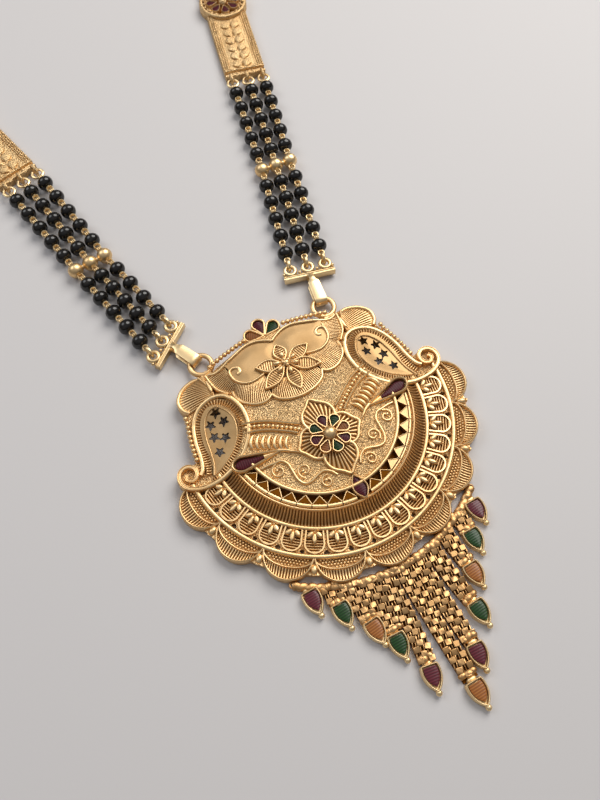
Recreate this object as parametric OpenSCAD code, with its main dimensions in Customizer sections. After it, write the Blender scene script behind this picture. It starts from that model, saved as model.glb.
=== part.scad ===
// Mangalsutra: a domed, pierced pendant with a box-chain fringe, on three
// strands of black beads a side, two side plates and a plain back chain.
// The necklace lies flat, pendant at the front, its back chain towards +Y.

/* [Pendant] */
// Radius of the circle on which neighbouring scallops meet
cusp_r = 25; // [23:0.5:28]
// Number of scallops round the lower half
scallops = 9; // [7:1:11]
// Radius of one scallop
scallop_r = 4.6; // [4.4:0.1:5]
// Width of the row of arches inside the scallops
arch_band = 5; // [4.4:0.1:5.4]
// Number of arches
arches = 17; // [13:1:19]
// Width of the fluted slope inside the arches
flute_band = 2.8; // [2.4:0.1:3.2]
// Width of the pierced zigzag band
zigzag_band = 2.7; // [2.4:0.1:3]
// Height of the thin ridges at the foot of the dome
foot_h = 2; // [1.8:0.1:2.4]
// Height of the notched rim round the dome
rim_h = 4.2; // [3.8:0.1:4.8]
// Height of the crown of the dome
crown_h = 5.2; // [4.9:0.1:6]
// Thickness of the plate's edge
edge_t = 1.5; // [1.2:0.1:1.7]
// Thickness of the dome's wall
wall_t = 0.9; // [0.7:0.1:1.1]
// Height of cast relief above its ground
relief = 0.5; // [0.3:0.1:0.8]
// Width of a cast ridge
ridge_w = 0.5; // [0.4:0.05:0.7]
// Radius of the round granules along the edges
granule_r = 0.5; // [0.4:0.05:0.6]

/* [Enamel] */
// Width of a petal of the middle flower
petal_w = 1.9; // [1.6:0.1:2]
// Length of a petal of the middle flower
petal_l = 2.5; // [2.2:0.1:2.8]
// Number of petals of the middle flower
petals = 8; // [6:1:8]
// Thickness of the enamel
enamel_t = 0.6; // [0.4:0.1:0.8]
// Gap between enamel and the metal round it
enamel_gap = 0.05; // [0.03:0.01:0.08]

/* [Fringe] */
// Width of the bar that carries the fringe
fringe_bar_w = 1.1; // [0.9:0.1:1.4]
// Width of one strip of box chain
strip_w = 2.6; // [2.2:0.1:2.8]
// Thickness of a strip of box chain
strip_t = 1; // [0.8:0.1:1.2]
// Width of one drop
drop_w = 3; // [2.6:0.1:3.1]
// Length of one drop without its ball
drop_l = 4.2; // [3.8:0.1:4.6]
// Height of one drop
drop_t = 1.3; // [1.1:0.1:1.6]
// Wall of a drop's setting
drop_wall = 0.35; // [0.3:0.05:0.45]

/* [Strands] */
// Diameter of a black bead
bead_d = 3.2; // [2.9:0.1:3.3]
// Length of a bead along its thread hole
bead_l = 2.8; // [2.6:0.1:2.9]
// Diameter of the thread hole
thread_hole_d = 0.6; // [0.5:0.05:0.8]
// Diameter of the wire of the bead pins
pin_d = 0.24; // [0.2:0.02:0.26]
// Distance between the balls of a spacer
spacer_pitch = 3.25; // [3.2:0.05:3.4]
// Inner clearance between linked wires
link_gap = 0.1; // [0.1:0.01:0.12]
// Radius of a jump ring, at the middle of its wire
jump_r = 1.1; // [1:0.05:1.2]
// Diameter of a jump ring's wire
jump_d = 0.5; // [0.4:0.05:0.6]
// Radius of an eyelet of the bars and plates, at the middle of its wire
eye_r = 1; // [0.95:0.05:1.1]
// Diameter of the eyelet wire
eye_d = 0.7; // [0.6:0.05:0.8]

/* [End bars] */
// Length of an end bar
bar_l = 10.4; // [9.6:0.2:11]
// Width of an end bar
bar_w = 1.2; // [1:0.1:1.5]
// Distance between the strands at an end bar
bar_pitch = 3.6; // [3.3:0.1:3.8]
// Width of the strap that holds the pendant
strap_w = 2.2; // [1.8:0.1:2.4]
// Thickness of the strap
strap_t = 0.5; // [0.4:0.05:0.55]

/* [Side plates] */
// Width of a side plate
plate_w = 9.4; // [8.8:0.1:10]
// Distance from the plate's front end to the middle of its boss
plate_half = 24.3; // [22:0.1:27]
// Thickness of a side plate
plate_t = 1.3; // [1.1:0.1:1.5]
// Radius of the boss
boss_r = 5.6; // [5:0.1:6]
// Distance between the strands at a side plate
plate_pitch = 3.6; // [3.4:0.1:3.8]

/* [Back chain] */
// Number of links and hook together, an odd number one less than a multiple of four
links = 43; // [35:4:51]
// Distance from one link to the next
link_pitch = 6.5; // [6.2:0.1:7]
// Diameter of the link wire
link_d = 1; // [0.8:0.1:1.1]
// Half width of a link, at the middle of its wire
link_b = 1.3; // [1.2:0.05:1.5]

/* [Hidden] */
$fn = 48;
gold = [0.85, 0.66, 0.34];
black = [0.05, 0.05, 0.06];
maroon = [0.42, 0.10, 0.16];
green = [0.06, 0.30, 0.16];
orange = [0.72, 0.42, 0.14];
enamels = [maroon, green, orange];

// Radii of the rings, from the scallops inwards
ridge_r = cusp_r - arch_band;
rim_r = ridge_r - flute_band;
ground_r = rim_r - zigzag_band;
// The part's origin is under the middle of the arches, on the flat back
rest_y = (ridge_r + cusp_r) / 2;
// Half angle that one scallop takes up
half_step = 90 / scallops;

// Places on the pendant, as shares of the cusp radius
eyelet_at = [0.532, 0.832];
curl_at = [0.992, 0.05];
paisley_at = [0.628, 0.292];
lobe_at = [0.68, 0.572];
flower_at = [0, -0.19];
cloud_at = [0, 0.46];
crest_at = [0, 0.8];
leaf_at = [0.66, -0.075];
// Radii on the pendant, as shares of the cusp radius
curl_r = 0.084;
paisley_r = 0.212;
lobe_r = 0.135;
// Outline of the body between the paisleys, right half, as shares
body_outline = [[0.5, -0.1], [0.62, 0.4], [0.66, 0.68], [0.44, 0.735], [0.3, 0.77],
    [0.16, 0.805], [0, 0.84]];
// Outline of a paisley's tail, right side, as shares
tail_outline = [[0.832, 0.34], [0.85, 0.18], [0.89, 0.09], [0.95, 0.04], [1.01, -0.03],
    [0.8, -0.075], [0.66, -0.04], [0.52, 0.1]];
// Pierced stars of a paisley, right side, as shares
stars = [[0.62, 0.39], [0.692, 0.32], [0.6, 0.29], [0.708, 0.23], [0.64, 0.18], [0.724, 0.1]];

// Pendant eyelets
eyelet_r = cusp_r * 0.084;
eyelet_d = 1;
eyelet_z = edge_t - 0.3;

// Height of the thread holes and of the back chain above the table
strand_z = bead_d / 2;
chain_z = link_b + link_d / 2;
bar_h = strand_z + eye_d / 2;

// Middle and turn of each end bar, spacer and side plate: x, y from the
// pendant's eyelet, and the angle of the piece
right_route = [[1.3, 7.8, -14], [8.55, 35.8, -4], [15.3, 63.2, -13.8]];
left_route = [[-3.2, 6.6, 38], [-9.45, 31.45, 6], [-14.5, 59.8, 13.8]];
right_beads = [5, 5, 5];
left_beads = [5, 5, 4];
upper_beads = 5;

// Fringe: x at the bar, x and y at the lower end, all as shares
strips = [[-0.508, -0.508, -1.19], [-0.385, -0.38, -1.385], [-0.262, -0.276, -1.535],
    [-0.14, -0.19, -1.8], [-0.012, 0, -2.02], [0.112, 0.128, -1.83],
    [0.24, 0.28, -1.61], [0.375, 0.396, -1.385], [0.52, 0.528, -1.19]];
// Drops: x and y of the top edge as shares, the turn, and the colour
drops = [[-0.64, -1.035, 0, 0], [-0.506, -1.2, 0, 1], [-0.38, -1.395, 4, 2],
    [-0.285, -1.545, -3, 1], [-0.194, -1.812, -10, 0], [0, -2.03, 0, 2],
    [0.132, -1.842, -5, 0], [0.284, -1.62, 3, 1], [0.396, -1.395, 2, 2],
    [0.528, -1.2, 0, 1], [0.66, -1.035, 2, 0]];
fringe_r = cusp_r + scallop_r + 0.1;
fringe_turn = 37;

function unit(v) = v / norm(v);
function turned(v, a) = [v[0] * cos(a) - v[1] * sin(a), v[0] * sin(a) + v[1] * cos(a)];
function xy(v) = [v[0], v[1]];

// Everything is drawn round the middle of the fan and moved here
module place() {
    translate([0, rest_y, 0]) children();
}

module both_sides() {
    children();
    mirror([1, 0, 0]) children();
}

// Copies round the lower half, the first at one end of it
module round_fan(count, radius) {
    for (i = [0:count - 1])
        rotate(180 + (i + 0.5) * 180 / count) translate([radius, 0]) children();
}

module ring(radius, wire) {
    rotate_extrude() translate([radius, 0]) circle(d = wire);
}

module annulus(outer, width) {
    difference() {
        circle(outer);
        circle(outer - width);
    }
}

// Petal with its point at the origin, its round end up: two straight
// sides run from the point to where they touch the circle
module petal(w, l) {
    c = l - w / 2;
    lean = asin(w / 2 / c);
    side = [w / 2 * cos(lean), c - w / 2 * sin(lean)];
    translate([0, c]) circle(w / 2);
    polygon([[0, 0], side, [-side[0], side[1]]]);
}

// Leaf with two points: the overlap of two circles
module leaf(w, l) {
    r = (l * l / 4 + w * w / 4) / w;
    intersection() {
        translate([r - w / 2, l / 2]) circle(r);
        translate([w / 2 - r, l / 2]) circle(r);
    }
}

module star(r) {
    polygon([for (i = [0:9]) (i % 2 == 0 ? r : r * 0.42) * [sin(i * 36), cos(i * 36)]]);
}

module outline_half(shares) {
    polygon(shares * cusp_r);
}

// Outline of the whole pendant plate, without its eyelets
module paisley_2d() {
    translate(paisley_at * cusp_r) circle(paisley_r * cusp_r);
    outline_half(tail_outline);
    translate(curl_at * cusp_r) circle(curl_r * cusp_r);
}

module body_2d() {
    both_sides() {
        outline_half(concat([[0, -0.1]], body_outline));
        translate(lobe_at * cusp_r) circle(lobe_r * cusp_r);
    }
}

module crest_2d(grow) {
    for (a = [-62, 0, 62])
        translate(crest_at * cusp_r) rotate(a) petal(cusp_r * 0.072 + grow, cusp_r * 0.135 + grow);
}

module fan_2d() {
    intersection() {
        circle(cusp_r + 0.2);
        translate([-2 * cusp_r, -2 * cusp_r]) square([4 * cusp_r, 2 * cusp_r + 0.4]);
    }
    round_fan(scallops, cusp_r) circle(scallop_r);
    for (i = [1:scallops - 1])
        rotate(180 + i * 2 * half_step) translate([cusp_r + 0.9, 0]) square([4.4, 0.8], center = true);
}

// Dome and rings of the lower half, turned from one section of the sheet
module dome() {
    rotate_extrude()
        polygon([[0, crown_h - wall_t], [ground_r, rim_h - wall_t], [ground_r, rim_h - 0.1],
            [ground_r * 0.6, crown_h - 0.4], [0, crown_h]]);
    rotate([0, 0, 175]) rotate_extrude(angle = 190)
        polygon([[rim_r + 1.6, 0], [cusp_r + 0.5, 0], [cusp_r + 0.5, foot_h], [cusp_r - 0.5, foot_h + 0.1],
            [cusp_r - 0.6, edge_t], [ridge_r + ridge_w, edge_t], [ridge_r + ridge_w, foot_h],
            [ridge_r - 0.3, foot_h], [ridge_r - 1.2, foot_h - 0.1], [rim_r + 0.6, (foot_h + rim_h) / 2 - 0.3],
            [rim_r + 0.2, rim_h], [rim_r - 0.4, rim_h], [rim_r - 0.5, rim_h - relief],
            [ground_r + 0.4, rim_h - relief], [ground_r + 0.3, rim_h + 0.3], [ground_r - 0.3, rim_h + 0.3],
            [ground_r - 0.3, rim_h - wall_t - 0.1], [rim_r - 0.6, rim_h - relief - wall_t],
            [rim_r - 0.3, foot_h], [rim_r + 0.6, edge_t - 0.3], [rim_r + 1.6, edge_t - 0.5]]);
}

// Upper body: a plate with walls down to the table, hollow behind
module upper_body() {
    difference() {
        union() {
            linear_extrude(edge_t) {
                fan_2d();
                body_2d();
                both_sides() paisley_2d();
                crest_2d(0.8);
            }
            linear_extrude(foot_h + 1.2) intersection() {
                body_2d();
                translate([-cusp_r, 0]) square([2 * cusp_r, cusp_r]);
            }
            linear_extrude(foot_h + 1.2) both_sides() translate(paisley_at * cusp_r)
                circle(paisley_r * cusp_r);
        }
        translate([0, 0, -1]) cylinder(r = ground_r - 0.4, h = rim_h + 4);
        translate([0, 0, -1]) intersection() {
            cylinder(r = rim_r + 1.2, h = edge_t + 2);
            translate([-cusp_r, -2 * cusp_r, 0]) cube([2 * cusp_r, 2 * cusp_r, 10]);
        }
        translate([0, 0, -1]) linear_extrude(foot_h + 1.3) both_sides() {
            translate(paisley_at * cusp_r) circle(paisley_r * cusp_r - 1.2);
            translate([0.36, 0.44] * cusp_r) circle(cusp_r * 0.2);
            translate([0.14, 0.56] * cusp_r) circle(cusp_r * 0.16);
        }
    }
}

// Cast relief of the lower half
module fan_relief() {
    translate([0, 0, edge_t - 0.4]) linear_extrude(relief + 0.4) difference() {
        round_fan(scallops, cusp_r) {
            annulus(scallop_r, ridge_w);
            annulus(scallop_r * 0.62, ridge_w);
        }
        circle(cusp_r);
    }
    translate([0, 0, edge_t - 0.4]) linear_extrude(relief + 0.4)
        round_fan(arches, (ridge_r + cusp_r) / 2 + 0.1) {
            annulus(arch_band * 0.32, ridge_w * 0.8);
            for (a = [-50, 0, 50]) rotate(180 + a) translate([arch_band * 0.1, 0]) circle(arch_band * 0.075);
        }
    for (i = [1:scallops - 1]) rotate(180 + i * 2 * half_step)
        for (spot = [[3.4, 0.55], [3.4, -0.55], [2.6, 0]])
            translate([cusp_r + spot[0], spot[1], edge_t - 0.3]) sphere(granule_r);
    translate([0, 0, rim_h - relief - 0.3]) linear_extrude(relief + 0.3)
        round_fan(arches + 1, (rim_r + ground_r) / 2) circle(zigzag_band * 0.36, $fn = 3);
}

// Cast relief of the upper half: paisleys, lobes, cloud and flowers
module body_relief() {
    both_sides() {
        translate([0, 0, foot_h + 0.8]) linear_extrude(relief + 0.4)
            translate(paisley_at * cusp_r) annulus(paisley_r * cusp_r, ridge_w * 1.4);
        translate([0, 0, edge_t - 0.4]) linear_extrude(relief + 0.6) {
            translate(lobe_at * cusp_r) annulus(lobe_r * cusp_r, ridge_w);
            translate(curl_at * cusp_r) annulus(curl_r * cusp_r, ridge_w);
        }
        for (a = [17:12:53])
            translate(concat(cusp_r * (paisley_at + (paisley_r + 0.006) * [cos(a), sin(a)]), [edge_t - 0.4]))
                sphere(granule_r * 0.9);
        for (i = [0:4])
            translate([cusp_r * (0.862 - 0.004 * i), cusp_r * (0.13 + 0.045 * i), edge_t - 0.4])
                sphere(granule_r * 0.9);
        for (i = [0:5])
            translate([cusp_r * (0.4 - 0.04 * i), cusp_r * (0.755 + 0.011 * i), edge_t])
                sphere(granule_r * 0.9);
        for (i = [0:6])
            translate([cusp_r * (0.43 - 0.047 * i), cusp_r * (0.17 - 0.03 * i), crown_h - 0.55])
                sphere(granule_r * 0.8);
        translate([cusp_r * 0.3, cusp_r * -0.33, rim_h - 0.4]) linear_extrude(relief + 0.8)
            annulus(cusp_r * 0.07, ridge_w);
        translate([cusp_r * 0.2, cusp_r * -0.47, rim_h - 0.4]) linear_extrude(relief + 0.6)
            annulus(cusp_r * 0.05, ridge_w);
        translate(concat(leaf_at * cusp_r, [rim_h - 0.8])) linear_extrude(relief + 1.2)
            rotate(97) difference() {
                petal_at_round(cusp_r * 0.11, cusp_r * 0.36);
                petal_at_round(cusp_r * 0.11 - 0.6, cusp_r * 0.36 - 1.2);
            }
    }
    translate([0, 0, foot_h + 0.8]) linear_extrude(crown_h - foot_h - 0.9) {
        both_sides() translate([cusp_r * 0.2, cusp_r * 0.56]) circle(cusp_r * 0.19);
        translate([0, cusp_r * 0.42]) circle(cusp_r * 0.22);
    }
    translate(concat(cloud_at * cusp_r, [crown_h - 0.4])) {
        linear_extrude(relief + 0.4) for (i = [0:5]) rotate(i * 60) leaf(cusp_r * 0.1, cusp_r * 0.2);
        translate([0, 0, relief]) sphere(granule_r * 1.3);
    }
    translate(concat(flower_at * cusp_r, [rim_h])) {
        linear_extrude(crown_h + relief - rim_h) for (a = [0, 90, 180, 270])
            rotate(a) leaf(cusp_r * 0.19, cusp_r * (a == 180 ? 0.33 : 0.28));
        linear_extrude(crown_h + relief + enamel_t - rim_h) difference() {
            circle(petal_l + 0.9);
            for (i = [1:petals]) flower_spot(i) petal(petal_w + 2 * enamel_gap, petal_l + 2 * enamel_gap);
        }
        translate([0, 0, crown_h + relief + enamel_t - rim_h]) sphere(petal_l * 0.42);
    }
}

// Petal with its round end at the origin, its point up
module petal_at_round(w, l) {
    translate([0, l - w / 2]) rotate(180) petal(w, l);
}

// Place of one petal of the middle flower
module flower_spot(i) {
    rotate(-360 / petals * (i - 1)) translate([0, petal_w * 0.45]) children();
}

// Leaf of enamel on the axis, across the zigzag band
module lower_leaf_spot() {
    translate([0, -rim_r + 0.5]) children();
}

module pierced() {
    translate([0, 0, -1]) linear_extrude(crown_h + 4) {
        both_sides() for (s = stars) translate(s * cusp_r) rotate(10) star(cusp_r * 0.036);
        difference() {
            for (i = [1:arches]) rotate(180 + i * 180 / (arches + 1))
                translate([(rim_r + ground_r) / 2 + 0.1, 0]) circle(zigzag_band * 0.27, $fn = 3);
            translate([-1.5, -cusp_r]) square([3, cusp_r]);
        }
        for (i = [1:arches - 1]) rotate(180 + i * 180 / arches)
            translate([cusp_r - 1.15, 0]) rotate(180) circle(arch_band * 0.12, $fn = 3);
    }
}

module pendant_plate() {
    color(gold) place() {
        difference() {
            union() {
                upper_body();
                dome();
                fan_relief();
                body_relief();
                translate([0, 0, edge_t - 0.4]) linear_extrude(enamel_t + relief + 0.4) crest_2d(0.8);
                translate([0, 0, rim_h - relief - 0.3]) linear_extrude(relief + 0.9)
                    lower_leaf_spot() translate([0, -0.4]) leaf(2.6, ground_r * 0.35);
            }
            translate([0, 0, edge_t]) linear_extrude(9) difference() {
                crest_2d(0);
                translate(crest_at * cusp_r) circle(relief);
            }
            translate([0, 0, rim_h - enamel_t + 0.2]) linear_extrude(9) lower_leaf_spot() leaf(1.6, ground_r * 0.3);
            both_sides() translate(concat(leaf_at * cusp_r, [rim_h + 0.1 - enamel_gap])) rotate(97) linear_extrude(9)
                petal_at_round(cusp_r * 0.11 - 0.6, cusp_r * 0.36 - 1.2);
            pierced();
            translate([0, 0, -1]) linear_extrude(2.2) difference() {
                rotate(-90) fringe_sector(fringe_r + 3, fringe_turn + 4);
                circle(fringe_r - 0.7);
            }
        }
        both_sides() translate(concat(eyelet_at * cusp_r, [eyelet_z])) difference() {
            ring(eyelet_r, eyelet_d);
            translate([-eyelet_r - 1, -eyelet_r - 1, -1]) cube(0.01);
        }
        both_sides() translate([eyelet_at[0] * cusp_r - 1.4, lobe_at[1] * cusp_r, 0])
            cube([2.8, (eyelet_at[1] - lobe_at[1]) * cusp_r - eyelet_r, edge_t]);
    }
}

module leaf_enamel(side) {
    color(maroon) place() mirror([side < 0 ? 1 : 0, 0, 0])
        translate(concat(leaf_at * cusp_r, [rim_h + 0.1])) rotate(97) linear_extrude(enamel_t + 0.1)
            petal_at_round(cusp_r * 0.11 - 0.6 - 2 * enamel_gap, cusp_r * 0.36 - 1.2 - 2 * enamel_gap);
}

module leaf_enamel_lower() {
    color(maroon) place() translate([0, 0, rim_h - enamel_t + 0.2 + enamel_gap])
        linear_extrude(enamel_t) lower_leaf_spot() translate([0, enamel_gap * 3])
            leaf(1.6 - 2 * enamel_gap, ground_r * 0.3 - 6 * enamel_gap);
}

module crest_enamel(i) {
    color(enamels[[2, 0, 1][i - 1]]) place() translate(concat(crest_at * cusp_r, [edge_t + enamel_gap]))
        rotate([62, 0, -62][i - 1]) linear_extrude(enamel_t) difference() {
            translate([0, 0.15]) petal(cusp_r * 0.072 - 2 * enamel_gap, cusp_r * 0.135 - 0.15 - enamel_gap);
            circle(relief + enamel_gap);
        }
}

module flower_enamel(i) {
    color(enamels[[0, 1, 2, 0, 1, 2, 0, 1][i - 1]]) place()
        translate(concat(flower_at * cusp_r, [crown_h + relief + enamel_gap])) linear_extrude(enamel_t)
            difference() {
                flower_spot(i) translate([0, enamel_gap]) petal(petal_w - 2 * enamel_gap, petal_l);
                circle(petal_l * 0.42 + enamel_gap);
            }
}

// Sector of a disc about +X, as wide as the turn on each side
module fringe_sector(radius, turn) {
    intersection() {
        circle(radius);
        polygon([[0, 0], [4 * radius, 4 * radius * tan(turn)], [4 * radius, -4 * radius * tan(turn)]]);
    }
}

module fringe() {
    color(gold) place() difference() {
        union() {
            linear_extrude(strip_t) difference() {
                rotate(-90) fringe_sector(fringe_r + fringe_bar_w - 0.5, fringe_turn);
                circle(fringe_r - 0.5);
            }
            for (s = strips * cusp_r) {
                top = -sqrt(pow(fringe_r, 2) - pow(s[0], 2));
                linear_extrude(strip_t * 0.95) polygon([[s[0] - strip_w / 2, top], [s[0] + strip_w / 2, top],
                    [s[1] + strip_w / 2, s[2]], [s[1] - strip_w / 2, s[2]]]);
            }
        }
        // Room for the drops that lie beside the bar and the strips
        for (i = [1:len(drops)]) drop_spot(i) translate([0, enamel_gap, -1]) linear_extrude(strip_t + 2)
            drop_2d(drop_w + 2 * enamel_gap, drop_l + 2 * enamel_gap);
    }
}

// Drop outline: two arcs that meet in a point, under a rounded top edge
module drop_2d(w, l) {
    belly = l * 0.27;
    r = (pow(l - belly, 2) + w * w / 4) / w;
    intersection() {
        translate([r - w / 2, -belly]) circle(r);
        translate([w / 2 - r, -belly]) circle(r);
        translate([0, -w]) circle(w);
    }
}

module drop_spot(i) {
    d = drops[i - 1];
    translate([d[0] * cusp_r, d[1] * cusp_r, 0]) rotate(d[2]) children();
}

module drop(i) {
    color(gold) place() drop_spot(i) {
        difference() {
            linear_extrude(drop_t) drop_2d(drop_w, drop_l);
            translate([0, -drop_wall, drop_t - enamel_t - 0.1]) linear_extrude(drop_t)
                drop_2d(drop_w - 2 * drop_wall, drop_l - 3 * drop_wall);
        }
        translate([0, -drop_l - granule_r * 0.5, drop_t / 2]) sphere(granule_r);
    }
}

module drop_enamel(i) {
    color(enamels[drops[i - 1][3]]) place() drop_spot(i)
        translate([0, -drop_wall - enamel_gap, drop_t - enamel_t - 0.1 + enamel_gap]) linear_extrude(enamel_t)
            drop_2d(drop_w - 2 * drop_wall - 2 * enamel_gap, drop_l - 3 * drop_wall - 3 * enamel_gap);
}

// Middle of a pendant eyelet, and a place on the route from it
function eyelet(side) = [side * eyelet_at[0], eyelet_at[1]] * cusp_r;
function route(side) = side > 0 ? right_route : left_route;
function stop(side, n) = eyelet(side) + xy(route(side)[n]);
function stop_turn(side, n) = route(side)[n][2];

// Ends of the three strands, s from -1 to 1: eyelet of the end bar,
// ball of the spacer and eyelet of the side plate
eye_out = eye_r + eye_d / 2 - 0.2;
function low_end(side, s) = stop(side, 0) + turned([s * bar_pitch, bar_w / 2 + eye_out], stop_turn(side, 0));
function ball(side, s) = stop(side, 1) + turned([s * spacer_pitch, 0], stop_turn(side, 1));
function high_end(side, s) = stop(side, 2) + turned([s * plate_pitch, -eye_out], stop_turn(side, 2));
function beads_below(side, s) = (side > 0 ? right_beads : left_beads)[s + 1];

// Length of the jump ring and eyelet at the end of a strand, and from
// it the distance between beads that fills the way
end_run = 2 * jump_r + eye_r - jump_d - eye_d / 2 - 1.5 * link_gap;
function pitch_between(from, to, beads) = (norm(to - from) - end_run) / (beads + 0.5);

// Loop of a bead pin: its far side reaches past the middle of the gap by
// its wire and half the clearance, its near side stays off the bead
function loop_far(pitch) = pitch / 2 + pin_d / 2 + link_gap / 2;
loop_near = bead_l / 2 + pin_d / 2 + 0.02;
function loop_r(pitch) = (loop_far(pitch) - loop_near) / 2;

// One pin along +X with its flat loop behind and upright loop ahead
module bead_pin(pitch_behind, pitch_ahead) {
    translate([-loop_near - loop_r(pitch_behind), 0, 0]) ring(loop_r(pitch_behind), pin_d);
    translate([loop_near + loop_r(pitch_ahead), 0, 0]) rotate([90, 0, 0]) ring(loop_r(pitch_ahead), pin_d);
    translate([-loop_near, 0, 0]) rotate([0, 90, 0]) cylinder(d = pin_d * 0.9, h = 2 * loop_near);
}

// Ball with flat ends, drilled for its pin
module bead() {
    rotate([0, 90, 0]) difference() {
        intersection() {
            sphere(d = bead_d);
            cylinder(d = bead_d + 1, h = bead_l, center = true);
        }
        cylinder(d = thread_hole_d, h = bead_d + 1, center = true);
    }
}

// Puts a child at a point of the route, turned along a direction
module along(at, dir) {
    translate(concat(at, [strand_z])) rotate(atan2(dir[1], dir[0])) children();
}

module bead_string(side) {
    color(black) place() for (s = [-1, 0, 1]) {
        b = ball(side, s);
        low = low_end(side, s);
        high = high_end(side, s);
        below = pitch_between(b, low, beads_below(side, s));
        above = pitch_between(b, high, upper_beads);
        for (k = [1:beads_below(side, s)]) along(b + k * below * unit(low - b), b - low) bead();
        for (k = [1:upper_beads]) along(b + k * above * unit(high - b), high - b) bead();
    }
}

module bead_pins(side) {
    color(gold) place() for (s = [-1, 0, 1]) {
        b = ball(side, s);
        low = low_end(side, s);
        high = high_end(side, s);
        n = beads_below(side, s);
        below = pitch_between(b, low, n);
        above = pitch_between(b, high, upper_beads);
        down = unit(low - b);
        up = unit(high - b);
        along(b, up - down) bead_pin(below, above);
        for (k = [1:n]) along(b + k * below * down, -down) bead_pin(below, below);
        for (k = [1:upper_beads]) along(b + k * above * up, up) bead_pin(above, above);
        jump_at = loop_far(below) - (pin_d + jump_d) / 2 - link_gap + jump_r;
        jump_up = loop_far(above) - (pin_d + jump_d) / 2 - link_gap + jump_r;
        along(b + (n * below + jump_at) * down, down) rotate([90, 0, 0]) ring(jump_r, jump_d);
        along(b + (upper_beads * above + jump_up) * up, up) ring(jump_r, jump_d);
    }
}

// Three balls soldered side by side, each drilled along its strand
module spacer(side) {
    color(gold) place() {
        for (s = [-1, 0, 1])
            along(ball(side, s), unit(high_end(side, s) - ball(side, s)) + unit(ball(side, s) - low_end(side, s)))
                bead();
        for (s = [-0.5, 0.5])
            translate(concat(ball(side, s), [strand_z])) rotate(stop_turn(side, 1)) rotate([0, 90, 0])
                cylinder(d = bead_d * 0.3, h = spacer_pitch - bead_d * 0.7, center = true);
    }
}

// Bar with three flat eyelets and a strap through the pendant's eyelet
module end_bar(side) {
    bar = stop(side, 0);
    reach = norm(bar - eyelet(side));
    strap_h = 2 * eyelet_z - 0.1;
    // The strap is straight across, so it clears the eyelet's round hole at its edges
    hole = eyelet_r - eyelet_d / 2;
    bore_end = reach - sqrt(pow(hole, 2) - pow(strap_w, 2) / 4) + link_gap;
    color(gold) place() {
        translate(bar) rotate(stop_turn(side, 0)) {
            translate([-bar_l / 2, -bar_w / 2, 0]) cube([bar_l, bar_w, bar_h]);
            for (s = [-1, 0, 1]) translate([s * bar_pitch, bar_w / 2 + eye_out, strand_z]) ring(eye_r, eye_d);
        }
        translate(concat(bar, [strap_h / 2 + 0.05])) rotate(atan2(eyelet(side)[1] - bar[1], eyelet(side)[0] - bar[0]))
            rotate([90, 0, 0]) linear_extrude(strap_w, center = true) difference() {
                strap_2d(bore_end + strap_t, strap_h);
                strap_2d(bore_end, strap_h - 2 * strap_t, bar_w / 2);
            }
    }
}

// Strap section along +X: flat at its start, round at its end
module strap_2d(end, height, start = 0) {
    translate([start, -height / 2]) square([end - height / 2 - start, height]);
    translate([end - height / 2, 0]) circle(height / 2);
}

// Local frame of a side plate: +Y away from the pendant
module plate_frame(side) {
    place() translate(stop(side, 2)) rotate(stop_turn(side, 2)) children();
}

taper = plate_w * 0.7;
plate_ring_r = link_b;
function plate_ring(side) = stop(side, 2)
    + turned([0, 2 * plate_half + taper + plate_ring_r], stop_turn(side, 2));

module side_plate(side) {
    color(gold) plate_frame(side) {
        difference() {
            union() {
                translate([-plate_w / 2, 0, 0]) cube([plate_w, 2 * plate_half, plate_t]);
                linear_extrude(chain_z + 0.2) polygon([[-plate_w / 2, 2 * plate_half - 0.5],
                    [plate_w / 2, 2 * plate_half - 0.5], [0.8, 2 * plate_half + taper],
                    [-0.8, 2 * plate_half + taper]]);
                for (x = [-1, 1]) translate([x * (plate_w / 2 - 0.45) - 0.45, 0, 0])
                    cube([0.9, 2 * plate_half, plate_t + relief]);
                translate([-plate_w / 2, 0, 0]) cube([plate_w, 1.4, bar_h]);
                for (i = [0:5]) for (y = [3.2 + 2.4 * i, 2 * plate_half - 3.2 - 2.4 * i])
                    for (x = [-1, 1]) translate([x * 1.1, y, 0]) cylinder(d = 2, h = plate_t + relief);
                translate([0, plate_half, 0]) cylinder(r = boss_r, h = plate_t + 2 * relief);
            }
            translate([0, plate_half, plate_t + relief]) cylinder(r = boss_r - ridge_w * 1.2, h = 5);
        }
        for (i = [1:petals]) translate([0, plate_half, plate_t]) rotate(360 / petals * i)
            translate([0, boss_r * 0.86, relief]) sphere(granule_r * 0.8);
        translate([0, plate_half, plate_t + relief]) sphere(boss_r * 0.2);
        for (s = [-1, 0, 1]) translate([s * plate_pitch, -eye_out, strand_z]) rotate([0, 90, 0]) ring(eye_r, eye_d);
        translate([0, 2 * plate_half + taper + plate_ring_r, chain_z]) ring(plate_ring_r, link_d);
    }
}

module boss_enamel(side) {
    color(maroon) plate_frame(side) translate([0, plate_half, plate_t + relief + enamel_gap])
        linear_extrude(enamel_t) for (i = [1:petals]) rotate(360 / petals * i)
            translate([0, boss_r * 0.27]) petal(boss_r * 0.26, boss_r * 0.44);
}

// The hidden stretch: a straight run on from each side plate and one arc
// over the top. The run is worked out from the whole length of the chain.
lean = 13.8;
link_far = (link_pitch + link_d + link_gap * 1.5) / 2;
first_link = plate_ring_r - link_d - link_gap * 1.5 + link_far;
chain_l = 2 * first_link + (links - 1) * link_pitch;
arc_turn = 90 + lean;
spread = plate_ring(1) - plate_ring(-1);
arc_share = arc_turn * PI / 180 / cos(lean);
runs = (chain_l - spread[0] * arc_share) / (1 + sin(lean) * arc_share);
arc_r = (spread[0] + runs * sin(lean)) / (2 * cos(lean));
function run(side) = (runs - side * spread[1] / cos(lean)) / 2;
function run_dir(side) = [side * sin(lean), cos(lean)];
arc_c = plate_ring(1) + run(1) * run_dir(1) + arc_r * [-cos(lean), sin(lean)];

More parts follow.
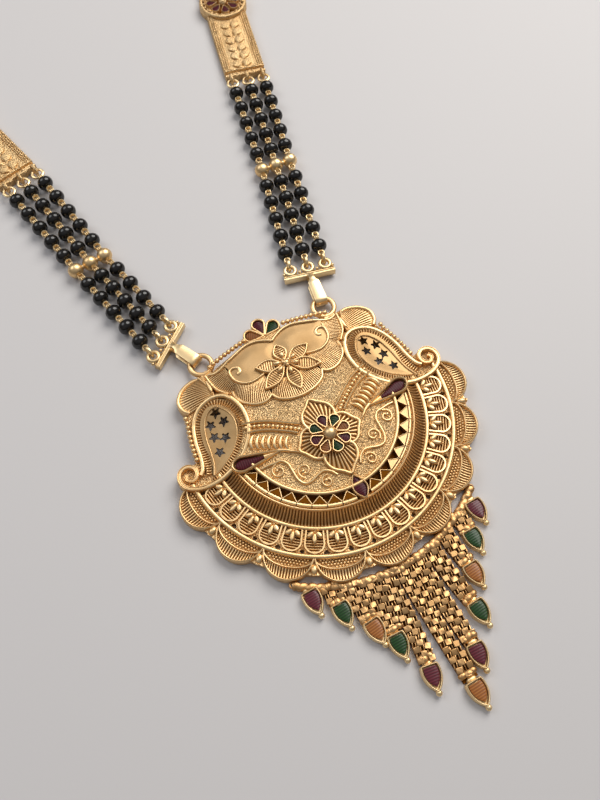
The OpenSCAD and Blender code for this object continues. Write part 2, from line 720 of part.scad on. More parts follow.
// Point and heading at a distance along the chain from one side plate
function chain_at(side, d) = d < run(side)
    ? concat(plate_ring(side) + d * run_dir(side), [90 - side * lean])
    : let (a = (d - run(side)) / arc_r * 180 / PI - lean)
        concat(arc_c + arc_r * [side * cos(a), sin(a)], [90 + side * a]);

module chain_link(upright) {
    e = link_far - link_b;
    rotate([upright ? 90 : 0, 0, 0]) {
        for (m = [0, 1]) mirror([m, 0, 0]) translate([e, 0, 0]) rotate([0, 0, -90])
            rotate_extrude(angle = 180) translate([link_b, 0]) circle(d = link_d);
        for (y = [-1, 1]) translate([-e, y * link_b, 0]) rotate([0, 90, 0])
            cylinder(d = link_d, h = 2 * e);
    }
}

module on_chain(side, d) {
    p = chain_at(side, d);
    translate([p[0], p[1], chain_z]) rotate(p[2]) children();
}

half_links = (links - 1) / 2;
module back_chain(side) {
    color(gold) place() for (k = [0:half_links - 1])
        on_chain(side, first_link + k * link_pitch) chain_link(k % 2 == 0);
}

// Flat S-shaped hook in place of the middle link
module clasp_hook() {
    color(gold) place() on_chain(1, first_link + half_links * link_pitch) {
        for (m = [0, 180]) rotate(m) translate([link_far / 2, 0, 0]) {
            rotate([0, 0, -120]) rotate_extrude(angle = 300) translate([link_far / 2, 0]) circle(d = link_d * 0.9);
            rotate([0, 0, -120]) translate([link_far / 2, 0, 0]) sphere(d = link_d * 0.9);
        }
        sphere(d = link_d);
    }
}

pendant_plate();
leaf_enamel(-1);  // leaf_enamel_left
leaf_enamel(1);  // leaf_enamel_right
leaf_enamel_lower();
for (i = [1:3]) crest_enamel(i);
for (i = [1:petals]) flower_enamel(i);
fringe();
for (i = [1:len(drops)]) {
    drop(i);
    drop_enamel(i);
}
end_bar(-1);  // end_bar_left
end_bar(1);  // end_bar_right
bead_string(-1);  // bead_string_left
bead_string(1);  // bead_string_right
bead_pins(-1);  // bead_pins_left
bead_pins(1);  // bead_pins_right
spacer(-1);  // spacer_left
spacer(1);  // spacer_right
side_plate(-1);  // side_plate_left
side_plate(1);  // side_plate_right
boss_enamel(-1);  // boss_enamel_left
boss_enamel(1);  // boss_enamel_right
back_chain(-1);  // back_chain_left
back_chain(1);  // back_chain_right
clasp_hook();
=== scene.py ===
import math
import bpy
import numpy as np
from mathutils import Matrix


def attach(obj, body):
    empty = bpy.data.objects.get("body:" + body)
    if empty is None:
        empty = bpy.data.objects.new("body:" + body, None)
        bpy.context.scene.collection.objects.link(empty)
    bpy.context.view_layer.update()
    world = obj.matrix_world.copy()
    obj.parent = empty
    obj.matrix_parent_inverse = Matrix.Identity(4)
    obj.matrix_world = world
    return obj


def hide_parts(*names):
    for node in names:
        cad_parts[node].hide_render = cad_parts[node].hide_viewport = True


# Mangalsutra lying on a pale table: the cast gold pendant with its enamels,
# the box-chain fringe, the strands of black beads, side plates and back chain.
# Shapes are worked out in millimetres round the middle of the pendant's fan
# and moved into the part's frame, in metres, when a piece is made.

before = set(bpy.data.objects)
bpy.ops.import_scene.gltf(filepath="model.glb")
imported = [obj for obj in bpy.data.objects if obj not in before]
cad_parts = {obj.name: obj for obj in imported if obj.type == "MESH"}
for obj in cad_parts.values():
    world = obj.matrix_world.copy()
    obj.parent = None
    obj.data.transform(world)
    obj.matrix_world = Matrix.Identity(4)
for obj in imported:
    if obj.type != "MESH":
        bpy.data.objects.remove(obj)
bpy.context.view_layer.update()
print("frame loaded")

# Sizes that the CAD gives; the pieces below fit them
fan = {
    "cuspR": 25.0,       # circle on which neighbouring scallops meet
    "ridgeR": 20.0,      # thin ridge inside the arches
    "groundR": 14.5,     # ridge round the stippled ground
    "scallops": 9,
    "arches": 17,
    "eyelet": (13.3, 20.8),    # middle of the right big eyelet
    "restY": 22.5,       # from the middle of the fan to the part's origin
}
up = np.array([0.0, 0.0, 1.0])


class Solid:
    # Gathers closed surfaces, given as whole arrays in millimetres, for one mesh

    def __init__(self):
        self.points, self.quads, self.threes, self.along, self.shade = [], [], [], [], []
        self.total = 0

    def add(self, points, quads=None, threes=None, along=None, shade=None):
        points = np.asarray(points, float).reshape(-1, 3)
        quads = np.zeros((0, 4), int) if quads is None else np.asarray(quads, int)
        threes = np.zeros((0, 3), int) if threes is None else np.asarray(threes, int)
        # Volume = sum over triangles of a . (b x c) / 6; a negative sum means
        # that the faces look inwards, and all are turned round
        flat = np.concatenate([quads[:, [0, 1, 2]], quads[:, [0, 2, 3]], threes])
        a, b, c = (points[flat[:, i]] - points.mean(0) for i in range(3))
        if np.einsum("ij,ij->", a, np.cross(b, c)) < 0:
            quads, threes = quads[:, ::-1], threes[:, ::-1]
        self.points.append(points)
        self.quads.append(quads + self.total)
        self.threes.append(threes + self.total)
        self.along.append(np.zeros(len(points)) if along is None else np.ravel(along))
        self.shade.append(np.zeros(len(points)) if shade is None else np.ravel(shade))
        self.total += len(points)


def makePiece(name, solid, material, nodes, crease=38.0):
    # One mesh from a Solid, moved into the part's frame, riding on the part in the
    # place of the CAD nodes; edges sharper than crease degrees stay sharp
    points = np.concatenate(solid.points)
    quads, threes = np.concatenate(solid.quads), np.concatenate(solid.threes)
    mesh = bpy.data.meshes.new(name)
    mesh.vertices.add(len(points))
    mesh.vertices.foreach_set("co", ((points + [0, fan["restY"], 0]) / 1000).ravel())
    mesh.loops.add(quads.size + threes.size)
    mesh.loops.foreach_set("vertex_index", np.concatenate([quads.ravel(), threes.ravel()]).astype(np.int32))
    mesh.polygons.add(len(quads) + len(threes))
    starts = np.concatenate([np.arange(len(quads)) * 4, quads.size + np.arange(len(threes)) * 3])
    mesh.polygons.foreach_set("loop_start", starts.astype(np.int32))
    mesh.update(calc_edges=True)
    # along = mm from the start of a sweep, shade = how much painted shade a point takes: how deep in a groove
    # it lies, or a set amount
    for label, values in (("along", solid.along), ("shade", solid.shade)):
        layer = mesh.attributes.new(label, "FLOAT", "POINT")
        layer.data.foreach_set("value", np.concatenate(values).astype(np.float32))
    mesh.shade_smooth()
    mesh.set_sharp_from_angle(angle=math.radians(crease))
    mesh.materials.append(material)
    piece = bpy.data.objects.new(name, mesh)
    bpy.context.scene.collection.objects.link(piece)
    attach(piece, "root")
    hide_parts(*nodes)
    print(name, len(quads) * 2 + len(threes), "triangles")


def pendantPiece(name, solid, material):
    # A piece that takes the place of a share of the pendant's CAD node
    makePiece(name, solid, material, ["pendant_plate"])


def curveThrough(points, count, closed=False):
    # Catmull-Rom curve: with a, b, c, d the four nearest points, half of
    # 2b + (c - a) t + (2a - 5b + 4c - d) t^2 + (3b - a - 3c + d) t^3,
    # then points evenly spaced along its length
    p = np.asarray(points, float)
    ends = [p[-1], p, p[0], p[1]] if closed else [2 * p[0] - p[1], p, 2 * p[-1] - p[-2]]
    p = np.vstack(ends)
    t = np.linspace(0, 1, 24, endpoint=False)[:, None, None]
    a, b, c, d = p[:-3], p[1:-2], p[2:-1], p[3:]
    spans = 0.5 * (2 * b + (c - a) * t + (2 * a - 5 * b + 4 * c - d) * t ** 2
                   + (3 * b - a - 3 * c + d) * t ** 3)
    line = np.vstack([spans.transpose(1, 0, 2).reshape(-1, p.shape[1]), p[-2]])
    length = np.concatenate([[0], np.cumsum(np.linalg.norm(np.diff(line, axis=0), axis=1))])
    wanted = np.linspace(0, length[-1], count + (1 if closed else 0))
    even = np.stack([np.interp(wanted, length, line[:, i]) for i in range(p.shape[1])], axis=1)
    return even[:-1] if closed else even


def pathRun(path):
    # Length of a path up to each of its points: running sum of its steps
    return np.concatenate([[0], np.cumsum(np.linalg.norm(np.diff(np.asarray(path)[:, :2], axis=0), axis=1))])


def sideways(path, closed=False):
    # Unit vectors to the right of a path in the plane: (dy, -dx) / length of (dx, dy)
    p = np.asarray(path, float)[:, :2]
    step = np.roll(p, -1, 0) - np.roll(p, 1, 0) if closed else np.gradient(p, axis=0)
    step /= np.maximum(np.linalg.norm(step, axis=1, keepdims=True), 1e-9)
    return np.stack([step[:, 1], -step[:, 0]], axis=1)


def offsetPath(path, distance):
    # point + distance * unit vector to the right
    p = np.array(path, float)
    p[:, :2] += sideways(p) * np.reshape(distance, (-1, 1))
    return p


def gridQuads(rows, columns, wrapRows=False, wrapColumns=False):
    # Quads of a grid of points whose number is row * columns + column
    i = np.arange(rows if wrapRows else rows - 1)[:, None]
    j = np.arange(columns if wrapColumns else columns - 1)[None, :]
    a, b = i * columns + j, i * columns + (j + 1) % columns
    c, d = (i + 1) % rows * columns + (j + 1) % columns, (i + 1) % rows * columns + j
    return np.stack([a, b, c, d], axis=-1).reshape(-1, 4)


# Sections of a ridge as (across, height) pairs: across from -1 to 1 of half its
# width, height as a share of its height; -1 marks the two points under the ground.
# The round one is (cos a, (sin a)^power): half a ring with full shoulders
def roundSection(count=7, power=0.6):
    a = np.linspace(0, np.pi, count)
    return np.vstack([np.stack([np.cos(a), np.sin(a) ** power], axis=1), [[-1, -1], [1, -1]]])


flatSection = np.array([[1, 0], [0.96, 0.7], [0.8, 1], [0, 1], [-0.8, 1], [-0.96, 0.7], [-1, 0], [-1, -1],
                        [1, -1]])
narrowRidge = roundSection(7, 0.5)
broadRidge = roundSection(9, 0.5)


def endCaps(rows, sides):
    # Fans of triangles over both ends of a tube of rows rings, round the two
    # middle points that are numbered next after the rings
    k = np.arange(sides)
    following, last = (k + 1) % sides, (rows - 1) * sides
    return np.vstack([np.stack([np.full(sides, rows * sides), following, k], axis=1),
                      np.stack([np.full(sides, rows * sides + 1), last + k, last + following], axis=1)])


def endMiddles(points, sides):
    # Middle points of the first and the last ring of a tube
    return np.stack([points[:sides].mean(0), points[-sides:].mean(0)])


def sweep(solid, path, width, height, section=None, lift=0.0, sink=0.4, relief=None, closed=False, shade=0.0):
    # Surface of a section carried along a path: point = path + side * across * width / 2
    # + up * (lift + height * share), with relief(along, across) added to its top; shade, and the relief's
    #   grooves, are painted shade
    section = roundSection() if section is None else section
    path = np.asarray(path, float)
    n, k = len(path), len(section)
    side = sideways(path, closed)
    width, height, lift, sink = (np.broadcast_to(v, n).astype(float)[:, None]
                                 for v in (width, height, lift, sink))
    across, share = section[None, :, 0], section[None, :, 1]
    points = np.zeros((n, k, 3))
    points[:, :, :2] = path[:, None, :2] + side[:, None, :] * (across * width / 2)[:, :, None]
    points[:, :, 2] = lift + np.where(share < 0, -sink, share * height)
    run = pathRun(path)[:, None] * np.ones((1, k))
    # Painted shade: shade everywhere, more in the relief's grooves
    paintedShade = np.full((n, k), float(shade))
    if relief is not None:
        cut = np.where((share > 0.3) * (abs(across) < 0.97), relief(run, across), 0)
        points[:, :, 2] += cut
        paintedShade = np.clip(paintedShade - cut / max(-cut.min(), 1e-6), 0, 1.5)
    quads = gridQuads(n, k, wrapRows=closed, wrapColumns=True)
    points = points.reshape(-1, 3)
    if closed:
        solid.add(points, quads, along=run, shade=paintedShade)
        return
    solid.add(np.vstack([points, endMiddles(points, k)]), quads, endCaps(n, k),
              along=np.concatenate([run.ravel(), [0, run.max()]]),
              shade=np.concatenate([paintedShade.ravel(), [0, 0]]))


def loft(solid, first, second, across, firstZ, secondZ, shape=None, sink=0.5, flutes=None, shade=None):
    # Ruled surface between two curves, point = first (1 - v) + second v, with
    # shape(u, v) and flutes(u, v) added to its height, closed by walls and a flat
    # underside; the flutes' hollows, and shade(u, v), get painted shade
    first, second = np.asarray(first, float)[:, :2], np.asarray(second, float)[:, :2]
    n = len(first)
    u = np.linspace(0, 1, n)[None, :]
    v = np.linspace(0, 1, across)[:, None]
    plane = first[None] * (1 - v[:, :, None]) + second[None] * v[:, :, None]
    z = np.broadcast_to(firstZ, n)[None] * (1 - v) + np.broadcast_to(secondZ, n)[None] * v
    if shape is not None:
        z = z + shape(u, v)
    paintedShade = np.zeros((across, n))
    if flutes is not None:
        cut = flutes(u, v) + 0 * z
        z = z + cut
        paintedShade = np.clip(-cut / max(-cut.min(), 1e-6), 0, 1)
    if shade is not None:
        paintedShade = np.clip(paintedShade + shade(u, v), 0, 1.5)
    top = np.concatenate([plane, z[:, :, None]], axis=2)
    low = top[[0, -1]].copy()
    low[:, :, 2] = min(np.min(firstZ), np.min(secondZ)) - sink
    m = across
    points = np.vstack([top.reshape(-1, 3), low.reshape(-1, 3)])
    j = np.arange(n - 1)
    lowA, lowB = m * n + j, m * n + n + j
    lastRow = (m - 1) * n + j
    quads = np.vstack([
        gridQuads(m, n),
        np.stack([lowA, lowA + 1, j + 1, j], axis=1),
        np.stack([lastRow, lastRow + 1, lowB + 1, lowB], axis=1),
        np.stack([lowB, lowB + 1, lowA + 1, lowA], axis=1)])
    i = np.arange(m - 1)
    a0, b0, a1, b1 = m * n, m * n + n, m * n + n - 1, m * n + 2 * n - 1
    threes = np.vstack([
        np.stack([np.full(m - 1, a0), i * n, (i + 1) * n], axis=1), [[a0, (m - 1) * n, b0]],
        np.stack([np.full(m - 1, a1), (i + 1) * n + n - 1, i * n + n - 1], axis=1), [[a1, b1, m * n - 1]]])
    solid.add(points, quads, threes, shade=np.concatenate([paintedShade.ravel(), np.zeros(2 * n)]))


def ballMesh(around, levels):
    # Unit ball as a small mesh: (cos lat cos lon, cos lat sin lon, sin lat)
    lat = np.linspace(-np.pi / 2, np.pi / 2, levels + 1)[1:-1]
    lon = np.arange(around) * 2 * np.pi / around
    ring = np.stack([np.cos(lat)[:, None] * np.cos(lon), np.cos(lat)[:, None] * np.sin(lon),
                     np.sin(lat)[:, None] * np.ones(around)], axis=-1).reshape(-1, 3)
    points = np.vstack([ring, [[0, 0, -1], [0, 0, 1]]])
    k, top = np.arange(around), (levels - 2) * around
    south = np.stack([np.full(around, len(ring)), (k + 1) % around, k], axis=1)
    north = np.stack([np.full(around, len(ring) + 1), top + k, top + (k + 1) % around], axis=1)
    return points, gridQuads(levels - 1, around, wrapColumns=True), np.vstack([south, north])


def balls(solid, centres, radius, around=8, levels=5, stretch=1.0, turn=None, shade=0.0):
    # Copies of one ball: its points times radius and stretch (one number, or one each
    # for x, y and z), turned in the plane, plus the centre
    base, quads, threes = ballMesh(around, levels)
    centres = np.asarray(centres, float).reshape(-1, 3)
    n = len(centres)
    size = np.broadcast_to(radius, n)[:, None, None] * np.broadcast_to(stretch, (n, 3))[:, None, :]
    points = base[None] * size
    if turn is not None:
        c, s = np.cos(np.broadcast_to(turn, n))[:, None], np.sin(np.broadcast_to(turn, n))[:, None]
        points = np.stack([points[:, :, 0] * c - points[:, :, 1] * s,
                           points[:, :, 0] * s + points[:, :, 1] * c, points[:, :, 2]], axis=2)
    points = points + centres[:, None, :]
    shift = np.arange(n)[:, None, None] * len(base)
    solid.add(points, (quads[None] + shift).reshape(-1, 4), (threes[None] + shift).reshape(-1, 3),
              shade=np.full(points.shape[:2], shade))


def ringTube(solid, centre, radius, wire, first, second, around, sides):
    # Ring of wire: centre + (radius + wire cos b / 2) (first cos a + second sin a)
    # + normal wire sin b / 2
    first, second = np.asarray(first, float), np.asarray(second, float)
    normal = np.cross(first, second)
    a = np.linspace(0, 2 * np.pi, around, endpoint=False)[:, None, None]
    b = (np.arange(sides) * 2 * np.pi / sides)[None, :, None]
    outward = first * np.cos(a) + second * np.sin(a)
    points = np.asarray(centre, float) + (radius + wire / 2 * np.cos(b)) * outward
    points = points + normal * wire / 2 * np.sin(b)
    solid.add(points, gridQuads(around, sides, wrapRows=True, wrapColumns=True))


def outlineDistance(x, y, outline):
    # Signed distance to a closed outline, negative inside: the least distance to
    # its edges; a point is inside when a ray along +X crosses an odd number of them
    p = np.asarray(outline, float)
    q = np.roll(p, -1, 0)
    best, inside = np.full(x.shape, 1e9), np.zeros(x.shape, bool)
    for (ax, ay), (bx, by) in zip(p, q):
        dx, dy = bx - ax, by - ay
        t = np.clip(((x - ax) * dx + (y - ay) * dy) / max(dx * dx + dy * dy, 1e-12), 0, 1)
        best = np.minimum(best, np.hypot(x - ax - t * dx, y - ay - t * dy))
        crosses = ((ay > y) != (by > y)) & (x < dx * (y - ay) / (dy if dy else 1e-12) + ax)
        inside ^= crosses
    return np.where(inside, -best, best)


def slab(solid, distance, top, back, step, low, high):
    # Sheet on a square grid: points near the outline move onto it, cells outside
    # are dropped, and walls join the top to the back along every open edge
    xs, ys = np.arange(low[0], high[0] + step, step), np.arange(low[1], high[1] + step, step)
    x, y = np.meshgrid(xs, ys)
    d = distance(x, y)
    gx = (distance(x + 0.02, y) - distance(x - 0.02, y)) / 0.04
    gy = (distance(x, y + 0.02) - distance(x, y - 0.02)) / 0.04
    near = (abs(d) < 0.62 * step) & (np.hypot(gx, gy) > 0.5)
    x, y = np.where(near, x - gx * d, x), np.where(near, y - gy * d, y)
    ok = (near | (d < 0)).ravel()
    cells = gridQuads(len(ys), len(xs))
    good = ok[cells]
    quads = cells[good.all(1)]
    threes = []
    for i in range(4):
        pick = (good.sum(1) == 3) & ~good[:, i]
        threes.append(cells[pick][:, [j for j in range(4) if j != i]])
    threes = np.vstack(threes)
    used = np.zeros(len(ok), bool)
    used[quads.ravel()] = True
    used[threes.ravel()] = True
    renumber = np.cumsum(used) - 1
    quads, threes = renumber[quads], renumber[threes]
    x, y = x.ravel()[used], y.ravel()[used]
    n = len(x)
    points = np.vstack([np.stack([x, y, top(x, y)], axis=1), np.stack([x, y, back(x, y)], axis=1)])
    edges = np.vstack([quads[:, [0, 1]], quads[:, [1, 2]], quads[:, [2, 3]], quads[:, [3, 0]],
                       threes[:, [0, 1]], threes[:, [1, 2]], threes[:, [2, 0]]])
    code, reverse = edges[:, 0] * n + edges[:, 1], edges[:, 1] * n + edges[:, 0]
    rim = edges[~np.isin(code, reverse)]
    walls = np.stack([rim[:, 1], rim[:, 0], rim[:, 0] + n, rim[:, 1] + n], axis=1)
    solid.add(points, np.vstack([quads, quads[:, ::-1] + n, walls]), np.vstack([threes, threes[:, ::-1] + n]))


def smoothStep(low, high, value):
    # 0 at low, 1 at high, between them 3 t^2 - 2 t^3
    t = np.clip((value - low) / (high - low), 0, 1)
    return t * t * (3 - 2 * t)


def polar(radius, degrees):
    # radius (cos a, sin a)
    a = np.radians(degrees)
    return np.stack([radius * np.cos(a), radius * np.sin(a)], axis=-1)


def turnedPoints(points, degrees, shift=(0, 0)):
    # (x cos a - y sin a, x sin a + y cos a) + shift
    a = math.radians(degrees)
    p = np.asarray(points, float)[:, :2]
    return np.stack([p[:, 0] * math.cos(a) - p[:, 1] * math.sin(a) + shift[0],
                     p[:, 0] * math.sin(a) + p[:, 1] * math.cos(a) + shift[1]], axis=1)


bothSides = (-1, 1)


def onSide(points, side):
    # (side * x, y): the same points on the right, mirrored on the left
    return np.asarray(points, float) * [side, 1]


def sideCurve(points, count, side):
    # Curve through an outline's points, mirrored on the left
    return onSide(curveThrough(points, count), side)


def raised(points, height):
    # Points of the plane with a height, or one height for all of them
    return np.column_stack([points, np.broadcast_to(height, len(points))])


class Wire:
    # One output of a material's node tree; sums, differences and products of wires
    # and numbers, in either order, add math nodes

    def __init__(self, paint, socket):
        self.paint, self.socket = paint, socket

    def _math(self, operation, *terms):
        return self.paint.node("ShaderNodeMath", {"operation": operation}, dict(enumerate(terms)))

    def __add__(self, other):
        return self._math("ADD", self, other)

    __radd__ = __add__

    def __rsub__(self, other):
        return self._math("SUBTRACT", other, self)

    def __mul__(self, other):
        return self._math("MULTIPLY", self, other)

    __rmul__ = __mul__

    def limited(self):
        # Cut off below 0 and above 1
        return self.spread(0.0, 1.0)

    def spread(self, low, high):
        # 0 below low, 1 above high, straight between
        return self.paint.node("ShaderNodeMapRange", {"clamp": True},
                               {0: self, 1: low, 2: high, 3: 0.0, 4: 1.0})

    def sine(self):
        return self._math("SINE", self)


class Paint:
    # A material and its node tree

    def __init__(self, name):
        self.material = bpy.data.materials.new(name)
        self.material.use_nodes = True
        self.tree = self.material.node_tree
        self.tree.nodes.clear()

    def node(self, kind, settings=None, values=None, output=0):
        # One node with its settings and input values; a Wire among them becomes a link
        made = self.tree.nodes.new(kind)
        for key, value in (settings or {}).items():
            setattr(made, key, value)
        for key, value in (values or {}).items():
            if isinstance(value, Wire):
                self.tree.links.new(value.socket, made.inputs[key])
            else:
                made.inputs[key].default_value = value
        return Wire(self, made.outputs[output])

    def mix(self, factor, first, second):
        # Colour mix: 6 and 7 are the colour inputs of the Mix node, 2 its colour output
        return self.node("ShaderNodeMix", {"data_type": "RGBA"}, {0: factor, 6: first, 7: second}, output=2)

    def place(self):
        # Place in the object, in metres
        return self.node("ShaderNodeTexCoord", output="Object")

    def noise(self, scale, detail):
        return self.node("ShaderNodeTexNoise", None,
                         {"Vector": self.place(), "Scale": scale, "Detail": detail})

    def spots(self, scale):
        # Distance to the nearest of the points strewn by the Voronoi node
        return self.node("ShaderNodeTexVoronoi", {"feature": "F1"},
                         {"Vector": self.place(), "Scale": scale})

    def attribute(self, name):
        # A value that makePiece has stored at each point of the mesh
        return self.node("ShaderNodeAttribute", {"attribute_name": name}, output="Fac")

    def recess(self, distance):
        # 1 in narrow hollows, 0 on open faces
        seen = self.node("ShaderNodeAmbientOcclusion", {"samples": 6}, {"Distance": distance}, output="AO")
        return 1.0 - seen

    def bump(self, height, distance, strength):
        return self.node("ShaderNodeBump", None,
                         {"Height": height, "Distance": distance, "Strength": strength})

    def finish(self, values):
        # The surface that the material shows
        surface = self.node("ShaderNodeBsdfPrincipled", None, values)
        out = self.tree.nodes.new("ShaderNodeOutputMaterial")
        self.tree.links.new(surface.socket, out.inputs["Surface"])
        return self.material


goldLook = {
    "bright": (0.89, 0.655, 0.355),     # open faces
    "worn": (0.81, 0.56, 0.275),        # duller patches
    "groove": (0.20, 0.070, 0.006),     # painted shade, brown, in grooves and hollows
    "deep": (0.04, 0.012, 0.002),       # painted shade in the darkest ones
    "reach": 0.00038,                   # how wide a hollow still gets painted shade, in metres
    "patches": 150, "fine": 2600, "waves": 700, "grains": 3700,    # per metre
    "bumpHeight": 0.00007,
}


def scaled(colour, share, warmth=1.0):
    # Each channel of a colour times share, green times warmth too, blue twice
    return tuple(c * share * warmth ** i for i, c in enumerate(colour)) + (1.0,)


def goldPaint(name, roughness, hollowShare, stipple=0.0, grain=1.0, tone=1.0, warmth=1.0):
    # Gold worn in patches, with painted shade, brown and rougher, in hollows, which the render finds,
    # and in grooves, which the shade attribute marks; stipple pits it and paints shade between its grains,
    # grain roughens it
    paint = Paint(name)
    patches = paint.noise(goldLook["patches"], 4)
    fine = paint.noise(goldLook["fine"], 3)
    bright, worn = (scaled(goldLook[k], tone, warmth) for k in ("bright", "worn"))
    colour = paint.mix(patches.spread(0.35, 0.65), bright, worn)
    # Painted shade: ambient occlusion in hollows and the shade attribute darken the colour to brown
    hollow = (paint.recess(goldLook["reach"]) * hollowShare).spread(0.35, 1.0)
    depth = hollow + paint.attribute("shade")
    paintedShade = depth.limited()
    height = fine * 0.35 * grain + paint.noise(goldLook["waves"], 3) * 0.6 * grain
    if stipple:
        grains = paint.spots(goldLook["grains"])
        # Painted shade between the stipple's grains
        paintedShade = (paintedShade + grains.spread(0.35, 0.80) * 0.42).limited()
        height = height * 0.6 + (1.0 - grains) * stipple
    colour = paint.mix(paintedShade, colour, scaled(goldLook["groove"], 1.0))
    colour = paint.mix(depth.spread(1.05, 1.5), colour, scaled(goldLook["deep"], 1.0))
    rough = (roughness + 0.12 * patches + 0.06 * fine + 0.25 * paintedShade).limited()
    return paint.finish({"Base Color": colour, "Metallic": 1.0, "Roughness": rough,
                         "Normal": paint.bump(height, goldLook["bumpHeight"], 1.0 if stipple else 0.6)})


# Cast pendant, its engraved lines, the stippled ground, the smooth plates, the bead
# wires, the spacer balls, the drops' settings, the side plates and the chains
castGold = goldPaint("castGold", 0.32, 0.58, grain=0.4, tone=1.01, warmth=0.965)
lineGold = goldPaint("lineGold", 0.30, 0.1, grain=0.3, tone=1.06)
groundGold = goldPaint("groundGold", 0.30, 0.8, stipple=2.6, tone=0.93, warmth=0.97)
plateGold = goldPaint("plateGold", 0.42, 0.7, grain=0.35, tone=0.51, warmth=0.89)
wireGold = goldPaint("wireGold", 0.27, 0.7, grain=0.12, tone=1.0, warmth=1.05)
satinGold = goldPaint("satinGold", 0.32, 0.6, grain=0.4)
bezelGold = goldPaint("bezelGold", 0.36, 0.0, grain=0.15, tone=1.10, warmth=1.05)
paleGold = goldPaint("paleGold", 0.34, 0.6, stipple=1.6, tone=0.95, warmth=0.99)
chainGold = goldPaint("chainGold", 0.32, 1.1, grain=0.3, tone=0.72, warmth=0.82)

# A dark and a light colour of each enamel
enamelLook = {
    "maroon": ((0.072, 0.005, 0.012), (0.19, 0.028, 0.042)),
    "green": ((0.005, 0.028, 0.004), (0.020, 0.086, 0.012)),
    "orange": ((0.26, 0.075, 0.012), (0.52, 0.21, 0.05)),
    "linePitch": 0.42,                  # mm between the engraved lines under the enamel
    "reach": 0.0004,                    # how wide a corner still gets painted shade, in metres
}
enamelNames = ("maroon", "green", "orange")


def enamelPaint(colourName, prefix, share, shine):
    # Glassy enamel: lighter on the crests of its lines, sin(2 pi along / linePitch),
    # with painted shade in its corners
    paint = Paint(prefix + colourName)
    deep, pale = (scaled(colour, share) for colour in enamelLook[colourName])
    lines = (paint.attribute("along") * (2 * math.pi / enamelLook["linePitch"])).sine() * 0.5 + 0.5
    cloud = paint.noise(900, 3)
    colour = paint.mix((lines.spread(0.45, 1.0) * 0.7 + cloud * 0.3).limited(), deep, pale)
    # Painted shade in the enamel's corners, found by ambient occlusion
    colour = paint.mix(paint.recess(enamelLook["reach"]).spread(0.35, 1.0), colour, scaled(deep[:3], 0.3))
    return paint.finish({"Base Color": colour, "Roughness": 0.26 + 0.16 * cloud, "Coat Weight": shine - 0.1,
                         "Coat Roughness": 0.12, "IOR": 1.45, "Specular IOR Level": shine,
                         "Normal": paint.bump(lines * 0.7 + paint.noise(1500, 2) * 0.5, 0.00005, 0.5)})


# Enamel of the drops, and the darker one in the small cups
enamels = [enamelPaint(n, "enamel_", 0.86, 0.35) for n in enamelNames]
deepEnamels = [enamelPaint(n, "deep_enamel_", 0.52, 0.16) for n in enamelNames]

glass = Paint("blackGlass")
glassDust = glass.noise(1400, 4)
blackGlass = glass.finish({
    "Base Color": glass.mix(glassDust.spread(0.55, 0.8), (0.007, 0.006, 0.005, 1.0),
                            (0.034, 0.029, 0.024, 1.0)),
    "Roughness": 0.06 + 0.14 * glassDust, "IOR": 1.5,
    "Normal": glass.bump(glass.noise(420, 2), 0.00003, 0.4)})
print("materials made")


def placedObject(name, data, columns=None):
    # Object in the scene; columns are its X, Y and Z axes and its place
    made = bpy.data.objects.new(name, data)
    bpy.context.scene.collection.objects.link(made)
    if columns is not None:
        stand = np.eye(4)
        stand[:3] = np.stack(columns, axis=1)
        made.matrix_world = Matrix(stand.tolist())
    return made


# Camera where the photograph was taken from, found from the pendant's circles;
# its axes point right, up and back in the photo
cameraLook = {
    "right": (0.87634, -0.48170, 0.0),
    "up": (0.43557, 0.79241, 0.42704),
    "back": (-0.20570, -0.37423, 0.90423),
    "place": (-0.03020, -0.02633, 0.13230),
    "lens": 35.28,
}
camera = bpy.data.cameras.new("camera")
camera.lens = cameraLook["lens"]
camera.sensor_width = 36.0
camera.clip_start = 0.005
camera.clip_end = 10.0
bpy.context.scene.camera = placedObject("camera", camera,
                                        [cameraLook[k] for k in ("right", "up", "back", "place")])
bpy.context.scene.view_settings.view_transform = "Standard"

stageLook = {
    "floorRight": (0.560, 0.543, 0.536, 1.0),
    "floorLeft": (0.583, 0.564, 0.558, 1.0),
    "floorHalf": 2.0, "floorZ": -0.0001,
    "sky": (0.50, 0.50, 0.52, 1.0),
    "horizon": (0.10, 0.085, 0.075, 1.0),
    "skyStrength": 0.70,
    "target": (0.0, 0.03, 0.0),         # both lights look at this place
    "key": {"place": (0.33, 0.22, 0.43), "size": 0.46, "power": 3.1, "colour": (1.0, 0.97, 0.93)},
    "fill": {"place": (-0.30, 0.42, 0.50), "size": 0.40, "power": 1.1, "colour": (0.93, 0.96, 1.0)},
}
# Table top painted a little darker towards +X as shade, with a random tone from noise
floorPaint = Paint("tableTop")
across = floorPaint.node("ShaderNodeSeparateXYZ", None, {0: floorPaint.place()})
floorColour = floorPaint.mix((across * 5.0 + 0.5 + floorPaint.noise(9, 2) * 0.2).limited(),
                             stageLook["floorLeft"], stageLook["floorRight"])
tableTop = floorPaint.finish({"Base Color": floorColour, "Roughness": 0.62,
                              "Normal": floorPaint.bump(floorPaint.noise(1500, 2), 0.00002, 0.3)})
floorMesh = bpy.data.meshes.new("tableTop")
floorMesh.from_pydata([(x * stageLook["floorHalf"], y * stageLook["floorHalf"], stageLook["floorZ"])
                       for x, y in ((-1, -1), (1, -1), (1, 1), (-1, 1))], [], [(0, 1, 2, 3)])
floorMesh.materials.append(tableTop)
floor = placedObject("tableTop", floorMesh)


def softLight(name, place, size, power, colour):
    # Disk of light whose Z axis points away from what it looks at
    lamp = bpy.data.lights.new(name, "AREA")
    lamp.shape = "DISK"
    lamp.size = size
    lamp.energy = power
    lamp.color = colour
    away = np.subtract(place, stageLook["target"])
    away /= np.linalg.norm(away)
    level = np.cross(up, away)
    level /= np.linalg.norm(level)
    return placedObject(name, lamp, [level, np.cross(away, level), away, place])


